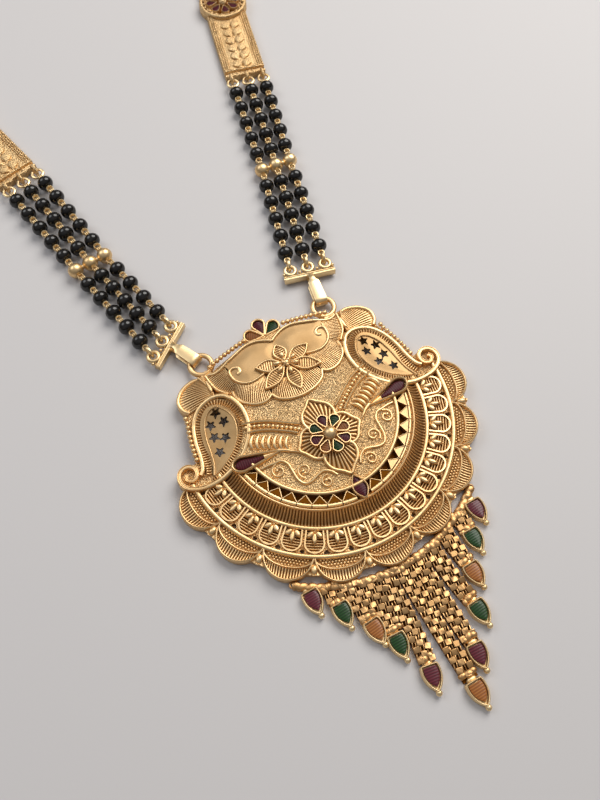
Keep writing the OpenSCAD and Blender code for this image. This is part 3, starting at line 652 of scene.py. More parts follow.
keyLight = softLight("keyLight", **stageLook["key"])
fillLight = softLight("fillLight", **stageLook["fill"])
world = bpy.data.worlds.new("room")
bpy.context.scene.world = world
world.use_nodes = True
worldTree = world.node_tree
worldTree.nodes.clear()
direction, split, ramp, background, worldOut = (
    worldTree.nodes.new("ShaderNode" + kind)
    for kind in ("TexCoord", "SeparateXYZ", "ValToRGB", "Background", "OutputWorld"))
worldTree.links.new(direction.outputs["Generated"], split.inputs[0])
worldTree.links.new(split.outputs[2], ramp.inputs[0])
worldTree.links.new(ramp.outputs[0], background.inputs["Color"])
worldTree.links.new(background.outputs[0], worldOut.inputs["Surface"])
skyStops = ((0.05, stageLook["horizon"]), (0.85, stageLook["sky"]))
for stop, (place, colour) in zip(ramp.color_ramp.elements, skyStops):
    stop.position = place
    stop.color = colour
background.inputs["Strength"].default_value = stageLook["skyStrength"]
print("stage made")

# Materials of the CAD nodes, of which the back chains and the clasp hook stay in sight
nodeLooks = {"bead_string": blackGlass, "bead_pins": wireGold, "back_chain": chainGold,
             "clasp_hook": chainGold}
# Numbers in enamels: 0 maroon, 1 green, 2 orange
enamelColours = {
    "drop_enamel": (0, 1, 2, 1, 0, 2, 0, 1, 2, 1, 0),
    "flower_enamel": (0, 1, 2, 0, 1, 2, 0, 1),
    "crest_enamel": (2, 0, 1),
}


def materialOf(name):
    # By the start of a node's name; enamel that isn't listed is maroon, the rest cast gold
    for stem, material in nodeLooks.items():
        if name.startswith(stem):
            return material
    for stem, colours in enamelColours.items():
        if name.startswith(stem):
            return enamels[colours[int(name.rsplit("_", 1)[1]) - 1]]
    return enamels[0] if "enamel" in name else castGold


for nodeName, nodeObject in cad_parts.items():
    nodeObject.data.materials.clear()
    nodeObject.data.materials.append(materialOf(nodeName))
print("CAD nodes painted")

# The sheet that carries the relief, and the outlines cut out of it
sheetLook = {
    "grid": 0.275,         # mm between the points of the sheet
    "wall": 0.9,
    "starR": 1.28, "starGrid": 0.12,
    "domeR": 14.5, "domeZ": 4.05, "domeRise": 1.1,
    "chordY": -2.6,        # above it the fan ends and the crest's sheet takes over
    "fanR": 24.8,
    "gap": (14.7, 16.95),  # radii of the open ring between the dome and the rim
    "tucked": 0.5,         # how far the sheet reaches under the paisleys' plates
    "outline": [(0, 20.9), (2.5, 20.6), (5, 20.1), (7.7, 19.4), (10.4, 18.7), (12.4, 18.2), (14.5, 18.4),
                (16.6, 18.4), (18.9, 17.6), (20.5, 16.1), (20.9, 14.6), (20.5, 13.2), (20.2, 12.2),
                (21, 9.5), (21.7, 6), (22.2, 3.4), (23.2, 3.1), (24.5, 3.5), (26.2, 3.0), (27.0, 1.3),
                (26.4, -0.4), (24.8, -1.6), (22, -2.4), (18, -3.6)],
    "paisley": [(13.1, 8.2), (13.0, 6), (13.8, 3.5), (15.6, 1.4), (18, 0.2), (20.4, -0.6), (20.0, 1.6),
                (20.0, 4), (19.7, 7), (18.6, 9.7), (16.4, 11.2), (14.3, 10.5)],
    "plate": [(13.05, 8.2), (13.0, 6.2), (13.8, 3.7), (15.5, 1.6), (17.3, 0.35), (19.2, -0.45),
              (21.0, -0.85), (20.3, 1.2), (19.95, 3.0), (20.0, 5), (19.4, 7.9), (18.2, 10.1),
              (16.3, 11.3), (14.2, 10.5)],
    "cloud": [(0, 17.2), (1, 17.6), (2.8, 18.3), (5, 18.4), (7.6, 17.6), (10.2, 16.6), (9.8, 15.8),
              (9.9, 13.5), (9.2, 12), (7.4, 11.2), (5.4, 11.4), (3.4, 11.9), (0, 11.9)],
    "stars": [(15.5, 9.6), (17.3, 8), (14.9, 7.4), (17.7, 5.7), (16, 4.6), (18.1, 2.7)],
}


def bothHalves(points):
    # An outline's right half, then the same points mirrored in reverse order
    p = np.asarray(points, float)
    return np.vstack([p, (p * [-1, 1])[::-1]])


def paisleyZ(x):
    # Height of the paisleys' ridges, lower further out
    return np.interp(np.abs(x), [10.5, 12, 20, 24], [4.5, 4.3, 2.3, 2.1])


def groundAt(x, y):
    # Height of the sheet: the dome's domeZ + domeRise (1 - (r / domeR)^2), outside it a slope
    # that falls outwards in the upper half and a low ring in the lower half
    r = np.hypot(x, y)
    low = np.where(r < 17.3, 3.75, 1.45 + 2.4 * (np.clip(19.9 - r, 0, 2.5) / 2.5) ** 2)
    low = np.where(r > 20, 1.5, low)
    domeR, domeZ = sheetLook["domeR"], sheetLook["domeZ"]
    high = np.maximum(domeZ - 0.33 * np.maximum(r - domeR, 0), 1.6)
    outer = low + (high - low) * smoothStep(-2.0, -0.6, y)
    dome = domeZ + sheetLook["domeRise"] * (1 - (r / domeR) ** 2)
    return np.where(r <= domeR, dome, outer)


def sheetTop(x, y):
    # The ground, and 0.7 under the paisleys' ridges where it meets their openings
    z = groundAt(x, y)
    tail = outlineDistance(np.abs(x), y, sheetLook["paisley"])
    return z + (paisleyZ(x) - 0.7 - z) * smoothStep(0.9, 0.2, tail)


def sheetBack(x, y):
    # The top less the wall, down to 0 towards the rim
    r = np.hypot(x, y)
    edge = smoothStep(17.5, 19.5, r)
    return np.maximum(sheetTop(x, y) - sheetLook["wall"], 0) * (1 - edge)


# Five-pointed star of ten corners, and the nick between two arches
corner = np.arange(10)
starShape = polar(np.where(corner % 2 == 0, 1.0, 0.42) * sheetLook["starR"], 36 * corner + 10)
nickShape = np.array([(23.3, 0.0), (24.45, -0.68), (24.45, 0.68)])
archStep = 10    # degrees from arch to arch
sheetOutline = bothHalves(sheetLook["outline"])


def sheetDistance(x, y):
    # The sheet is open under the paisleys' pierced plates, between the dome and
    # its notched rim, and in a small nick between neighbouring arches
    chordY, (gapFrom, gapTo) = sheetLook["chordY"], sheetLook["gap"]
    half = np.maximum(np.hypot(x, y) - sheetLook["fanR"], y - chordY)
    d = np.minimum(outlineDistance(x, y, sheetOutline), half)
    d = np.maximum(d, -outlineDistance(np.abs(x), y, sheetLook["paisley"]) - sheetLook["tucked"])
    r, a = np.hypot(x, y), np.degrees(np.arctan2(y, x)) % 360
    gap = np.maximum(np.maximum(gapFrom - r, r - gapTo), y - chordY + 0.1)
    d = np.maximum(d, -gap)
    nearest = np.round((a - 185) / archStep) * archStep + 185
    turn = np.radians(a - nearest)
    hole = outlineDistance(r * np.cos(turn), r * np.sin(turn), nickShape)
    return np.where((nearest > 190) & (nearest < 350), np.maximum(d, -hole), d)


sheet = Solid()
slab(sheet, sheetDistance, sheetTop, sheetBack, sheetLook["grid"], (-27.3, -25.1), (27.3, 21.2))
makePiece("pendant_sheet", sheet, groundGold, ["pendant_plate"], crease=50)


plateOutline = curveThrough(sheetLook["plate"], 80, closed=True)


def starredDistance(x, y):
    # The plate's outline with the stars cut out
    d = outlineDistance(np.abs(x), y, plateOutline)
    for spot in sheetLook["stars"]:
        d = np.maximum(d, -outlineDistance(np.abs(x), y, starShape + spot))
    return d


def bowlTop(x, y):
    # Plate inside a paisley, 0.42 lower in its middle than at its rim
    depth = outlineDistance(np.abs(x), y, sheetLook["paisley"])
    return paisleyZ(x) + 0.12 - 0.42 * smoothStep(0.0, -3.2, depth)


def cloudDistance(x, y):
    # The cloud's outline, mirrored on the left
    return outlineDistance(np.abs(x), y, sheetLook["cloud"])


plates = Solid()
for side in bothSides:
    ends = sorted((12.6 * side, 21.6 * side))
    slab(plates, starredDistance, bowlTop, lambda x, y: bowlTop(x, y) - 0.45, sheetLook["starGrid"],
         (ends[0], -1.5), (ends[1], 11.6))
slab(plates, cloudDistance, lambda x, y: 5.0 + 0.25 * smoothStep(0.0, -2.5, cloudDistance(x, y)),
     lambda x, y: np.full(x.shape, 3.4), 0.3, (-10.5, 11.0), (10.5, 18.8))
makePiece("smooth_plates", plates, plateGold, ["pendant_plate"], crease=50)


def onGround(path, extra):
    # Heights of the sheet along a path, plus extra
    return groundAt(np.asarray(path)[:, 0], np.asarray(path)[:, 1]) + extra


def straight(first, last, count):
    # first (1 - t) + last t
    t = np.linspace(0, 1, count)[:, None]
    return np.asarray(first, float) * (1 - t) + np.asarray(last, float) * t


def leafWidth(u, width, fat=0.45):
    # Pointed at both ends: width * sin(pi u^p), p so that the fattest place is at fat
    return np.maximum(width * np.sin(np.pi * np.clip(u, 0, 1) ** (math.log(0.5) / math.log(fat))), 0.05)


def tearWidth(u, width, fat):
    # Narrow start that grows as (u / fat)^0.85, then a round end, width sqrt(1 - t^2)
    rise = (u / fat) ** 0.85
    fall = np.sqrt(np.maximum(1 - ((u - fat) / (1 - fat)) ** 2, 0))
    return np.maximum(width * np.where(u < fat, rise, fall), 0.05)


def leafForm(solid, base, tip, width, height, lift, fat=0.45, bend=0.0, section=None, count=26,
             shape=leafWidth, relief=None, sink=0.6):
    # A leaf, petal or shell: a sweep of changing width along a line, bent aside
    # by bend sin(pi u); its height falls with its width near the ends
    u = np.linspace(0, 1, count)
    path = straight(base, tip, count)
    path = path + sideways(path) * (bend * np.sin(np.pi * u))[:, None]
    w = shape(u, width, fat)
    sweep(solid, path, w, height * np.clip(w / width * 1.6, 0.25, 1), section, lift=lift, relief=relief,
          sink=sink)


def stripes(pitch, depth, edge):
    # Grooves across the line of a sweep, only inside the rims: depth (1 + cos) / 2
    return lambda run, across: -depth * (0.5 + 0.5 * np.cos(run * 2 * np.pi / pitch)) * (abs(across) < edge)


def outlineOf(length, width, fat, shape, count=40):
    # Closed outline of a leaf form that starts at the origin and points along +Y:
    # half its width to the right on the way out, to the left on the way back
    u = np.linspace(0, 1, count)
    w = shape(u, width, fat) / 2
    right = np.stack([w, u * length], axis=1)
    return np.vstack([right, (right * [-1, 1])[-2:0:-1]])


# Fan: scallops, arches and rings of the lower half
fanLook = {
    "scallopDepth": 4.75, "scallopFlutes": 27,
    "ridgeAt": 0.50,        # share of the depth
    "ridgeWire": 0.33,
    "dotRows": 4, "firstDots": 0.62, "dotRowPitch": 0.47, "dotPitch": 0.56, "dotR": 0.24,
    # Radii between which the arch's sides are straight, half its width at both
    "archFrom": 20.3, "archTo": 22.7, "archFoot": 1.44, "archHalf": 1.66,
    "archWire": 0.32, "archHeight": 0.66,
    "slopeFrom": 17.5, "slopeTo": 19.95, "fluteCount": 98, "fluteDepth": 0.27,
    "fromAngle": 187.0, "toAngle": 353.0,
    "pyramids": 8, "pyramidStep": 9.1,
    "pyramidBase": 16.4, "pyramidTip": 14.95,
    "shadedUntil": 297,     # degrees; the pyramids before it get copper-brown painted shade
}
scallopStep = 180 / fan["scallops"]
halfChord = fan["cuspR"] * math.sin(math.radians(scallopStep / 2))
chordR = fan["cuspR"] * math.cos(math.radians(scallopStep / 2))


def swelling(height):
    # Highest midway between a loft's two curves: height sin(pi v)
    return lambda u, v: height * np.sin(np.pi * v) + 0 * u


def grooves(t, narrow=2.0):
    # 1 in a narrow groove at each whole t, 0 between: ((1 + cos 2 pi t) / 2)^narrow
    return (0.5 + 0.5 * np.cos(2 * np.pi * t)) ** narrow


def fadedFlutes(count):
    # Grooves, in painted shade, that fade towards both curves of a loft
    return lambda u, v: -0.2 * grooves(count * u) * np.sin(np.pi * v) ** 0.5


def openFlutes(count):
    # Grooves, in painted shade, that fade towards a loft's first curve only
    return lambda u, v: -0.18 * grooves(count * u) * smoothStep(0.02, 0.2, v)


def scallopShape(u, v):
    # Across a scallop: two shallow hollows, one on each side of the ridge
    outer = np.sin(np.pi * np.clip((v - 0.57) / 0.34, 0, 1))
    inner = np.sin(np.pi * np.clip(v / 0.5, 0, 1)) ** 0.5
    return -0.12 * outer - 0.22 * inner


def scallopFlutes(u, v):
    # Radial grooves in the outer hollow
    fade = smoothStep(0.54, 0.58, v) * smoothStep(0.95, 0.92, v)
    return -0.24 * grooves(fanLook["scallopFlutes"] * u) * fade


def acrossSector(radii, offsets, middle):
    # Points given by their radius along a sector's middle line and their offset from it
    return turnedPoints(np.stack(np.broadcast_arrays(radii, offsets), axis=1), middle)


outerFan = Solid()
ridgeAt = fanLook["ridgeAt"]
for i in range(fan["scallops"]):
    middle = 180 + scallopStep * (i + 0.5)
    phi = np.linspace(0.02, np.pi - 0.02, 190)
    rimX, rimY = halfChord * np.cos(phi), fanLook["scallopDepth"] * np.sin(phi) ** 0.92
    inner = acrossSector(chordR + 0.1, rimX, middle)
    outer = acrossSector(chordR + rimY, rimX, middle)
    ridge = acrossSector(chordR + 0.1 + rimY * ridgeAt, rimX, middle)
    rim = acrossSector(chordR + 0.05 + rimY * 0.955, rimX * 0.985, middle)
    # Painted shade in the dotted hollow inside the ridge and in the flutes' grooves
    loft(outerFan, inner, outer, 22, 1.55, 1.58, scallopShape, sink=1.5, flutes=scallopFlutes,
         shade=lambda u, v: 0.75 * (v < ridgeAt) + 0 * u)
    sweep(outerFan, ridge[::2], fanLook["ridgeWire"], 0.52, narrowRidge, lift=1.5, sink=0.8)
    sweep(outerFan, rim[::2], 0.44, 0.55, narrowRidge, lift=1.5, sink=1.45)
    # Rows of dots between the band and the ridge, every second row shifted
    for row in range(fanLook["dotRows"]):
        x = fanLook["firstDots"] + row * fanLook["dotRowPitch"]
        away = (x + 0.22) / (fanLook["scallopDepth"] * ridgeAt)
        reach = halfChord * math.sqrt(max(1 - away ** 2, 0)) - 0.15
        spots = np.arange(-12, 13) * fanLook["dotPitch"] + (row % 2) * fanLook["dotPitch"] / 2
        spots = spots[np.abs(spots) < reach]
        if len(spots):
            balls(outerFan, raised(acrossSector(chordR + x, spots, middle), 1.46), fanLook["dotR"])
# Flat band round the arches, and in each notch a filler with a hollow seed whose pit is a small ball in
# painted shade
sweep(outerFan, polar(fan["cuspR"] - 0.10, np.linspace(180.5, 359.5, 240)), 0.90, 0.72,
      roundSection(9, 0.55), lift=1.5, sink=1.45)
seedAngles = 180 + scallopStep * np.arange(1, fan["scallops"])
for a in seedAngles:
    wedge = polar(1.0, a) * np.linspace(25.0, 27.9, 8)[:, None]
    sweep(outerFan, wedge, np.linspace(0.5, 2.7, 8), 0.35, flatSection, lift=1.05, sink=1.0)
balls(outerFan, raised(polar(27.1, seedAngles), 1.7), 0.62, 16, 10,
      stretch=(1.5, 1.0, 0.95), turn=np.radians(seedAngles))
for a in seedAngles:
    ringTube(outerFan, (*polar(27.85, a), 1.72), 0.34, 0.24, (*polar(1.0, a + 90), 0),
             (*polar(0.6, a), 0.8), 16, 6)
# Pit of the seed: a ball painted dark as shade
balls(outerFan, raised(polar(27.82, seedAngles), 1.74), 0.32, 10, 6,
      stretch=(0.9, 1.0, 0.9), turn=np.radians(seedAngles), shade=1.0)
pendantPiece("fan_scallops", outerFan, castGold)

arches = Solid()
sweep(arches, polar(fan["ridgeR"] + 0.1, np.linspace(181, 359, 240)), 0.8, 0.62, broadRidge, lift=1.75,
      sink=1.5)
wide, foot = fanLook["archHalf"], fanLook["archFoot"]
bow = np.radians(np.linspace(-90, 90, 17))
archFrom, archTo = fanLook["archFrom"], fanLook["archTo"]
archLine = np.vstack([straight((archFrom, -foot), (archTo, -wide), 8)[:-1],
                      np.stack([archTo + 1.6 * np.cos(bow), wide * np.sin(bow)], axis=1),
                      straight((archTo, wide), (archFrom, foot), 8)[1:]])
# Half the arch's width at each radius: straight sides, then its round end
rows = np.linspace(20.5, 24.2, 100)
half = np.where(rows < archTo, foot + (wide - foot) * (rows - archFrom) / (archTo - archFrom),
                wide * np.sqrt(np.clip(1 - ((rows - archTo) / 1.55) ** 2, 0.003, 1)))
half = np.maximum(half - 0.06, 0.05)
for i in range(fan["arches"]):
    middle = 190 + archStep * i
    sweep(arches, turnedPoints(archLine, middle), fanLook["archWire"], fanLook["archHeight"], flatSection,
          lift=1.5, sink=0.9)
    # Floor of the arch: narrow grooves along the fan in painted shade, and painted shade on its part near the
    # foot, behind the petals
    loft(arches, acrossSector(rows, -half, middle), acrossSector(rows, half, middle), 7, 1.86, 1.86,
         lambda u, v: 0.0 * u + 0.06 * (2 * v - 1) ** 2, sink=0.8,
         flutes=lambda u, v: -0.26 * grooves(u * 7.8, 1.2) + 0 * v,
         shade=lambda u, v: 0.05 + 0.6 * (u < 0.30) + 0 * v)
    # Three petals that spread from the arch's foot
    petalFoot = np.array([20.5, 0.0])
    for turn, reach, width in ((-46, 1.95, 0.92), (46, 1.95, 0.92), (0, 2.6, 0.86)):
        leafForm(arches, *turnedPoints([petalFoot, petalFoot + polar(reach, turn)], middle), width, 0.6, 2.02,
                 fat=0.55, count=14, sink=0.9, section=roundSection(7, 0.45))
pendantPiece("fan_arches", arches, castGold)

rings = Solid()
fluteRun = np.linspace(fanLook["fromAngle"], fanLook["toAngle"], fanLook["fluteCount"] * 6 + 1)


def slopeFlutes(u, v):
    # Radial grooves that fade at both edges of the slope
    fade = smoothStep(0.0, 0.12, v) * smoothStep(0.98, 0.84, v)
    return -fanLook["fluteDepth"] * grooves(u * fanLook["fluteCount"], 1.0) * fade


# Fluted slope: painted shade in its grooves, as a dark line along its upper edge and on its lower bevel
loft(rings, polar(fanLook["slopeFrom"], fluteRun), polar(fanLook["slopeTo"], fluteRun), 10, 0.0, 0.0,
     lambda u, v: 2.02 + 2.15 * (1 - v) ** 2.0 + 0 * u, sink=-0.5, flutes=slopeFlutes,
     shade=lambda u, v: 0.04 + 0.34 * smoothStep(0.55, 0.95, v) + 0.6 * smoothStep(0.12, 0.0, v))
sweep(rings, polar(fan["groundR"] + 0.05, np.linspace(189, 351, 200)), 0.7, 0.6, broadRidge, lift=4.0,
      sink=0.9)
# Floor under the zigzag, painted dark as shade, its pyramids, and the bright facets in front of them
gapRun = np.linspace(190, 350, 120)
loft(rings, polar(fan["groundR"], gapRun), polar(17.2, gapRun), 6, 3.3, 2.9, sink=0.3,
     shade=lambda u, v: 1.25 + 0 * u + 0 * v)
sweep(rings, polar(17.45, fluteRun[::3]), 0.36, 0.5, narrowRidge, lift=3.8, sink=1.6)
step = fanLook["pyramidStep"]
for k in range(-fanLook["pyramids"], fanLook["pyramids"] + 1):
    middle = 270 + step * k
    if k == 0:
        continue    # the lower leaf's bezel stands there
    inShade = middle < fanLook["shadedUntil"]
    wide = math.radians(step) * 16.35 / 2 - 0.06
    base = fanLook["pyramidBase"]
    corners = turnedPoints([(base, -wide), (base, wide), (fanLook["pyramidTip"], 0.0)], middle)
    top, low = raised(corners, [4.22, 4.22, 4.12]), raised(corners, 3.0)
    # Painted shade: deep copper-brown on the pyramids before the set angle, light after it
    rings.add(np.vstack([top, low]), quads=[[0, 3, 4, 1], [1, 4, 5, 2], [2, 5, 3, 0]],
              threes=[[0, 1, 2], [3, 5, 4]], shade=np.full(6, 1.18 if inShade else 0.22))
    for corner in (0, 1):
        line = straight(top[corner], top[2], 4)
        sweep(rings, line[:, :2], 0.17, 0.12, lift=line[:, 2], sink=0.1)
    facet = np.radians(np.linspace(-step / 2 + 0.3, step / 2 - 0.3, 13))
    arc = turnedPoints(16.75 * np.stack([np.cos(facet), np.sin(facet)], axis=1), middle)
    sweep(rings, arc, (0.72 if inShade else 0.5) + 0.10 * np.cos(facet * 160), 0.5, roundSection(9, 0.4),
          lift=3.8, sink=0.6)
pendantPiece("dome_rings", rings, castGold)
print("fan made")

# Scrollwork, arms and leaves on the dome and round it
scrollLook = {
    "line": 0.53, "lineHeight": 0.5,
    "scroll": [(13.3, -4.3), (12.2, -4.3), (11, -4.5), (9.7, -4.7), (8.9, -5.8), (8.8, -7.4), (8.7, -9),
               (8.0, -10.2), (6.7, -10.4), (5.3, -10.0), (4.1, -9.8), (3.0, -10.5), (2.3, -11.6)],
    # Middle of each spiral, its radius, the angle at which it starts and its way round
    "spirals": [((10.85, -6.1), 1.3, 95, -1), ((6.9, -8.2), 1.3, -60, 1), ((4.35, -11.75), 1.15, 120, -1)],
    "coil": 0.41, "coilTurn": 420,
    "beads": [(12.2, 3.9), (11.5, 3.65), (10.8, 3.35), (10.05, 3.0), (9.3, 2.6), (8.6, 2.2), (7.9, 1.7),
              (7.25, 1.2), (6.6, 0.7), (5.95, 0.25), (5.3, -0.2), (4.7, -0.7), (4.2, -1.1)],
    "upperLine": [(12.5, 4.8), (11, 4.3), (9, 3.4), (7.3, 2.35), (6, 1.4), (4.8, 0.5), (3.6, -0.3)],
    "lowerLine": [(12.4, 2.8), (11, 2.4), (9.4, 1.7), (8, 0.85), (6.8, 0.0), (5.6, -0.9), (4.7, -1.7)],
    "shellFirst": (12.2, 0.7), "shellLast": (6.9, -2.5), "shellCount": 7, "shellLean": (-0.5, 0.866),
}
scrolls = Solid()
for side in bothSides:
    line = sideCurve(scrollLook["scroll"], 90, side)
    sweep(scrolls, line, scrollLook["line"], scrollLook["lineHeight"], lift=onGround(line, -0.05))
    for centre, size, start, way in scrollLook["spirals"]:
        t = np.linspace(0, 1, 60)
        coil = np.asarray(centre) + polar(size * (1 - 0.72 * t), start + way * scrollLook["coilTurn"] * t)
        coil = onSide(coil, side)
        sweep(scrolls, coil, scrollLook["coil"], 0.42, lift=onGround(coil, -0.05))
        balls(scrolls, [[*coil[-1], float(onGround(coil[-1:], 0.2)[0])]], 0.36, 12, 8)
    for key, width in (("upperLine", 0.55), ("lowerLine", 0.52)):
        line = sideCurve(scrollLook[key], 50, side)
        sweep(scrolls, line, width, 0.62, lift=onGround(line, 0.0))
    beads = onSide(scrollLook["beads"], side)
    balls(scrolls, raised(beads, onGround(beads, 0.15)), 0.40, 10, 6)
    # Each shell is an arc that swells to its middle, over a low pad
    lean = np.array(scrollLook["shellLean"])
    row = straight(scrollLook["shellFirst"], scrollLook["shellLast"], scrollLook["shellCount"])
    away = (row[0] - row[-1]) / np.linalg.norm(row[0] - row[-1])
    bow = np.radians(np.linspace(-84, 84, 17))[:, None]
    for spot in row:
        arc = onSide(spot + away * 0.55 * np.cos(bow) + lean * 1.22 * np.sin(bow), side)
        sweep(scrolls, arc, 0.28 + 0.5 * np.cos(bow[:, 0]), 0.3 + 0.4 * np.cos(bow[:, 0]),
              roundSection(9, 0.6), lift=onGround(arc, 0.05))
pendantPiece("dome_scrolls", scrolls, lineGold)

# Flower in the middle: four fluted petals, eight enamel petals and a ball
flowerLook = {
    "at": (0.0, -4.75),
    "lengths": {0: 7.7, 90: 6.0, 180: 7.7, 270: 6.0},
    "half": [(-1.1, 1.2), (-2.4, 2.2), (-3.0, 3.8), (-2.5, 5.4), (-1.1, 6.6), (0, 7.5)],
    "flutes": 17, "fluteDepth": 0.2, "border": 0.62,
    "enamels": 8, "enamelLength": 2.35, "enamelWidth": 1.78, "enamelFrom": 1.28, "enamelFat": 0.66,
    "enamelLow": 5.74, "enamelHigh": 6.06,
    "heartR": 1.0, "heartZ": 5.45, "ball": 1.3, "ballZ": 6.12,
}
# The dome's three enamel leaves; the right one is mirrored on the left. A bezel is
# given by its place, length, width and widest place, an enamel by its base, tip,
# width, lower and upper height and widest place
leafLook = {
    "lowerAt": (0, -17.5), "lowerBezel": (4.7, 2.5, 0.45),
    "lowerEnamel": ((0, -17.2), (0, -13.1), 2.05, 3.86, 4.42, 0.45),
    "rightAt": (9.0, -2.9), "rightTurn": -82.5, "rightBezel": (8.7, 2.75, 0.78),
    "rightEnds": ((11.2, -2.62), (17.1, -1.86)), "rightEnamel": (1.9, 4.05, 4.62, 0.74),
    "stem": ((9.2, -2.9), (11.9, -2.5)),
    "tail": [(9.3, -2.7), (8.2, -3.3), (7.2, -4.1), (6.2, -4.9)],
}
flower = Solid()
flowerAt = np.array(flowerLook["at"])


def petalFlutes(u, v):
    # Grooves along a petal that fade towards the flower's heart
    return -flowerLook["fluteDepth"] * grooves(flowerLook["flutes"] * u, 1.2) * smoothStep(0, 0.3, v)


for turn, length in flowerLook["lengths"].items():
    half = np.asarray(flowerLook["half"]) * [1, length / 7.5]
    edge = curveThrough(np.vstack([half, (half * [-1, 1])[-2::-1]]), 181)
    edge = turnedPoints(edge, turn, flowerAt)
    heart = turnedPoints(polar(flowerLook["heartR"], np.linspace(150, 30, 181)), turn, flowerAt)
    # Petals take painted shade towards the heart and in their flutes
    loft(flower, heart, edge, 12, flowerLook["heartZ"], onGround(edge, 0.12), swelling(0.22), sink=0.8,
         flutes=petalFlutes, shade=lambda u, v: 0.10 + 0.25 * smoothStep(0.5, 0.1, v) + 0 * u)
    sweep(flower, edge, flowerLook["border"], 0.55, broadRidge, lift=onGround(edge, 0.05), sink=0.6)
balls(flower, [[*flowerAt, flowerLook["ballZ"]]], flowerLook["ball"], 28, 16)
enamelLength, enamelWidth, enamelFat = (flowerLook[k] for k in ("enamelLength", "enamelWidth", "enamelFat"))
cup = outlineOf(enamelLength + 0.16, enamelWidth + 0.10, enamelFat, tearWidth)
# The first enamel petal points up, the others follow clockwise
enamelTurns = [-i * 360 / flowerLook["enamels"] for i in range(flowerLook["enamels"])]
for turn in enamelTurns:
    base = flowerAt + polar(flowerLook["enamelFrom"] - 0.08, 90 + turn)
    wall = turnedPoints(cup, turn, base)
    sweep(flower, wall, 0.16, 0.9, flatSection, lift=flowerLook["heartZ"], sink=0.25, closed=True)
    leafForm(flower, base, base + polar(enamelLength + 0.1, 90 + turn), enamelWidth + 0.05, 0.4, 5.35,
             fat=enamelFat, shape=tearWidth, section=flatSection, count=18, sink=0.4)
leafBezel = outlineOf(*leafLook["lowerBezel"], leafWidth) + leafLook["lowerAt"]
sweep(flower, leafBezel, 0.36, 0.75, narrowRidge, lift=3.95, sink=0.5, closed=True)
for side in bothSides:
    bezel = outlineOf(*leafLook["rightBezel"], tearWidth, 60)
    bezel = turnedPoints(bezel, leafLook["rightTurn"] * side, onSide(leafLook["rightAt"], side))
    sweep(flower, bezel, 0.55, 1.0, broadRidge, lift=4.1, sink=0.7, closed=True)
    stem = straight(*onSide(leafLook["stem"], side), 8)
    sweep(flower, stem, np.linspace(0.6, 1.0, 8), 0.7, roundSection(9, 0.6), lift=4.1, sink=0.7)
    tail = sideCurve(leafLook["tail"], 24, side)
    sweep(flower, tail, np.linspace(0.8, 0.35, 24), 0.5, lift=onGround(tail, 0.0))
pendantPiece("middle_flower", flower, castGold)

bow = np.linspace(0, np.pi, 11)
domeSection = np.vstack([np.stack([np.cos(bow), 0.72 + 0.28 * np.sin(bow)], axis=1), [[-1, 0], [1, 0]]])


def enamelDrop(node, colour, base, tip, width, low, high, fat, shape, count=30):
    # Enamel in its cup: upright sides, a slightly domed face
    drop = Solid()
    widths = shape(np.linspace(0, 1, count), width, fat)
    sweep(drop, straight(base, tip, count), widths, high - low, domeSection, lift=low, sink=0.0)
    makePiece("shown_" + node, drop, deepEnamels[colour], [node])


for i, turn in enumerate(enamelTurns):
    base = flowerAt + polar(flowerLook["enamelFrom"], 90 + turn)
    enamelDrop(f"flower_enamel_{i + 1}", enamelColours["flower_enamel"][i], base,
               base + polar(enamelLength, 90 + turn), enamelWidth - 0.04,
               flowerLook["enamelLow"], flowerLook["enamelHigh"], enamelFat, tearWidth)
enamelDrop("leaf_enamel_lower", 0, *leafLook["lowerEnamel"], leafWidth)
for side, word in zip(bothSides, ("left", "right")):
    enamelDrop("leaf_enamel_" + word, 0, *onSide(leafLook["rightEnds"], side), *leafLook["rightEnamel"],
               tearWidth, 44)

# Crest of three enamel petals above the cloud
crestLook = {
    "at": (0.0, 20.15), "turns": (62, 0, -62),
    "length": 3.35, "width": 2.15, "fat": 0.66, "bezel": 0.5,
}
length, width = crestLook["length"], crestLook["width"]
crest = Solid()
for i, turn in enumerate(crestLook["turns"]):
    base = np.asarray(crestLook["at"]) + polar(0.25, 90 + turn)
    wall = turnedPoints(outlineOf(length + 0.35, width + 0.35, crestLook["fat"], tearWidth), turn, base)
    sweep(crest, wall, crestLook["bezel"], 0.62, broadRidge, lift=1.75, sink=1.7, closed=True)
    leafForm(crest, base, base + polar(length, 90 + turn), width, 0.3, 1.3, fat=crestLook["fat"],
             shape=tearWidth, section=flatSection, sink=1.25)
    enamelDrop(f"crest_enamel_{i + 1}", enamelColours["crest_enamel"][i], base + polar(0.45, 90 + turn),
               base + polar(length - 0.05, 90 + turn), width - 0.1, 1.6, 2.12, 0.62, tearWidth)
pendantPiece("crest_bezels", crest, castGold)
print("flower and crest made")

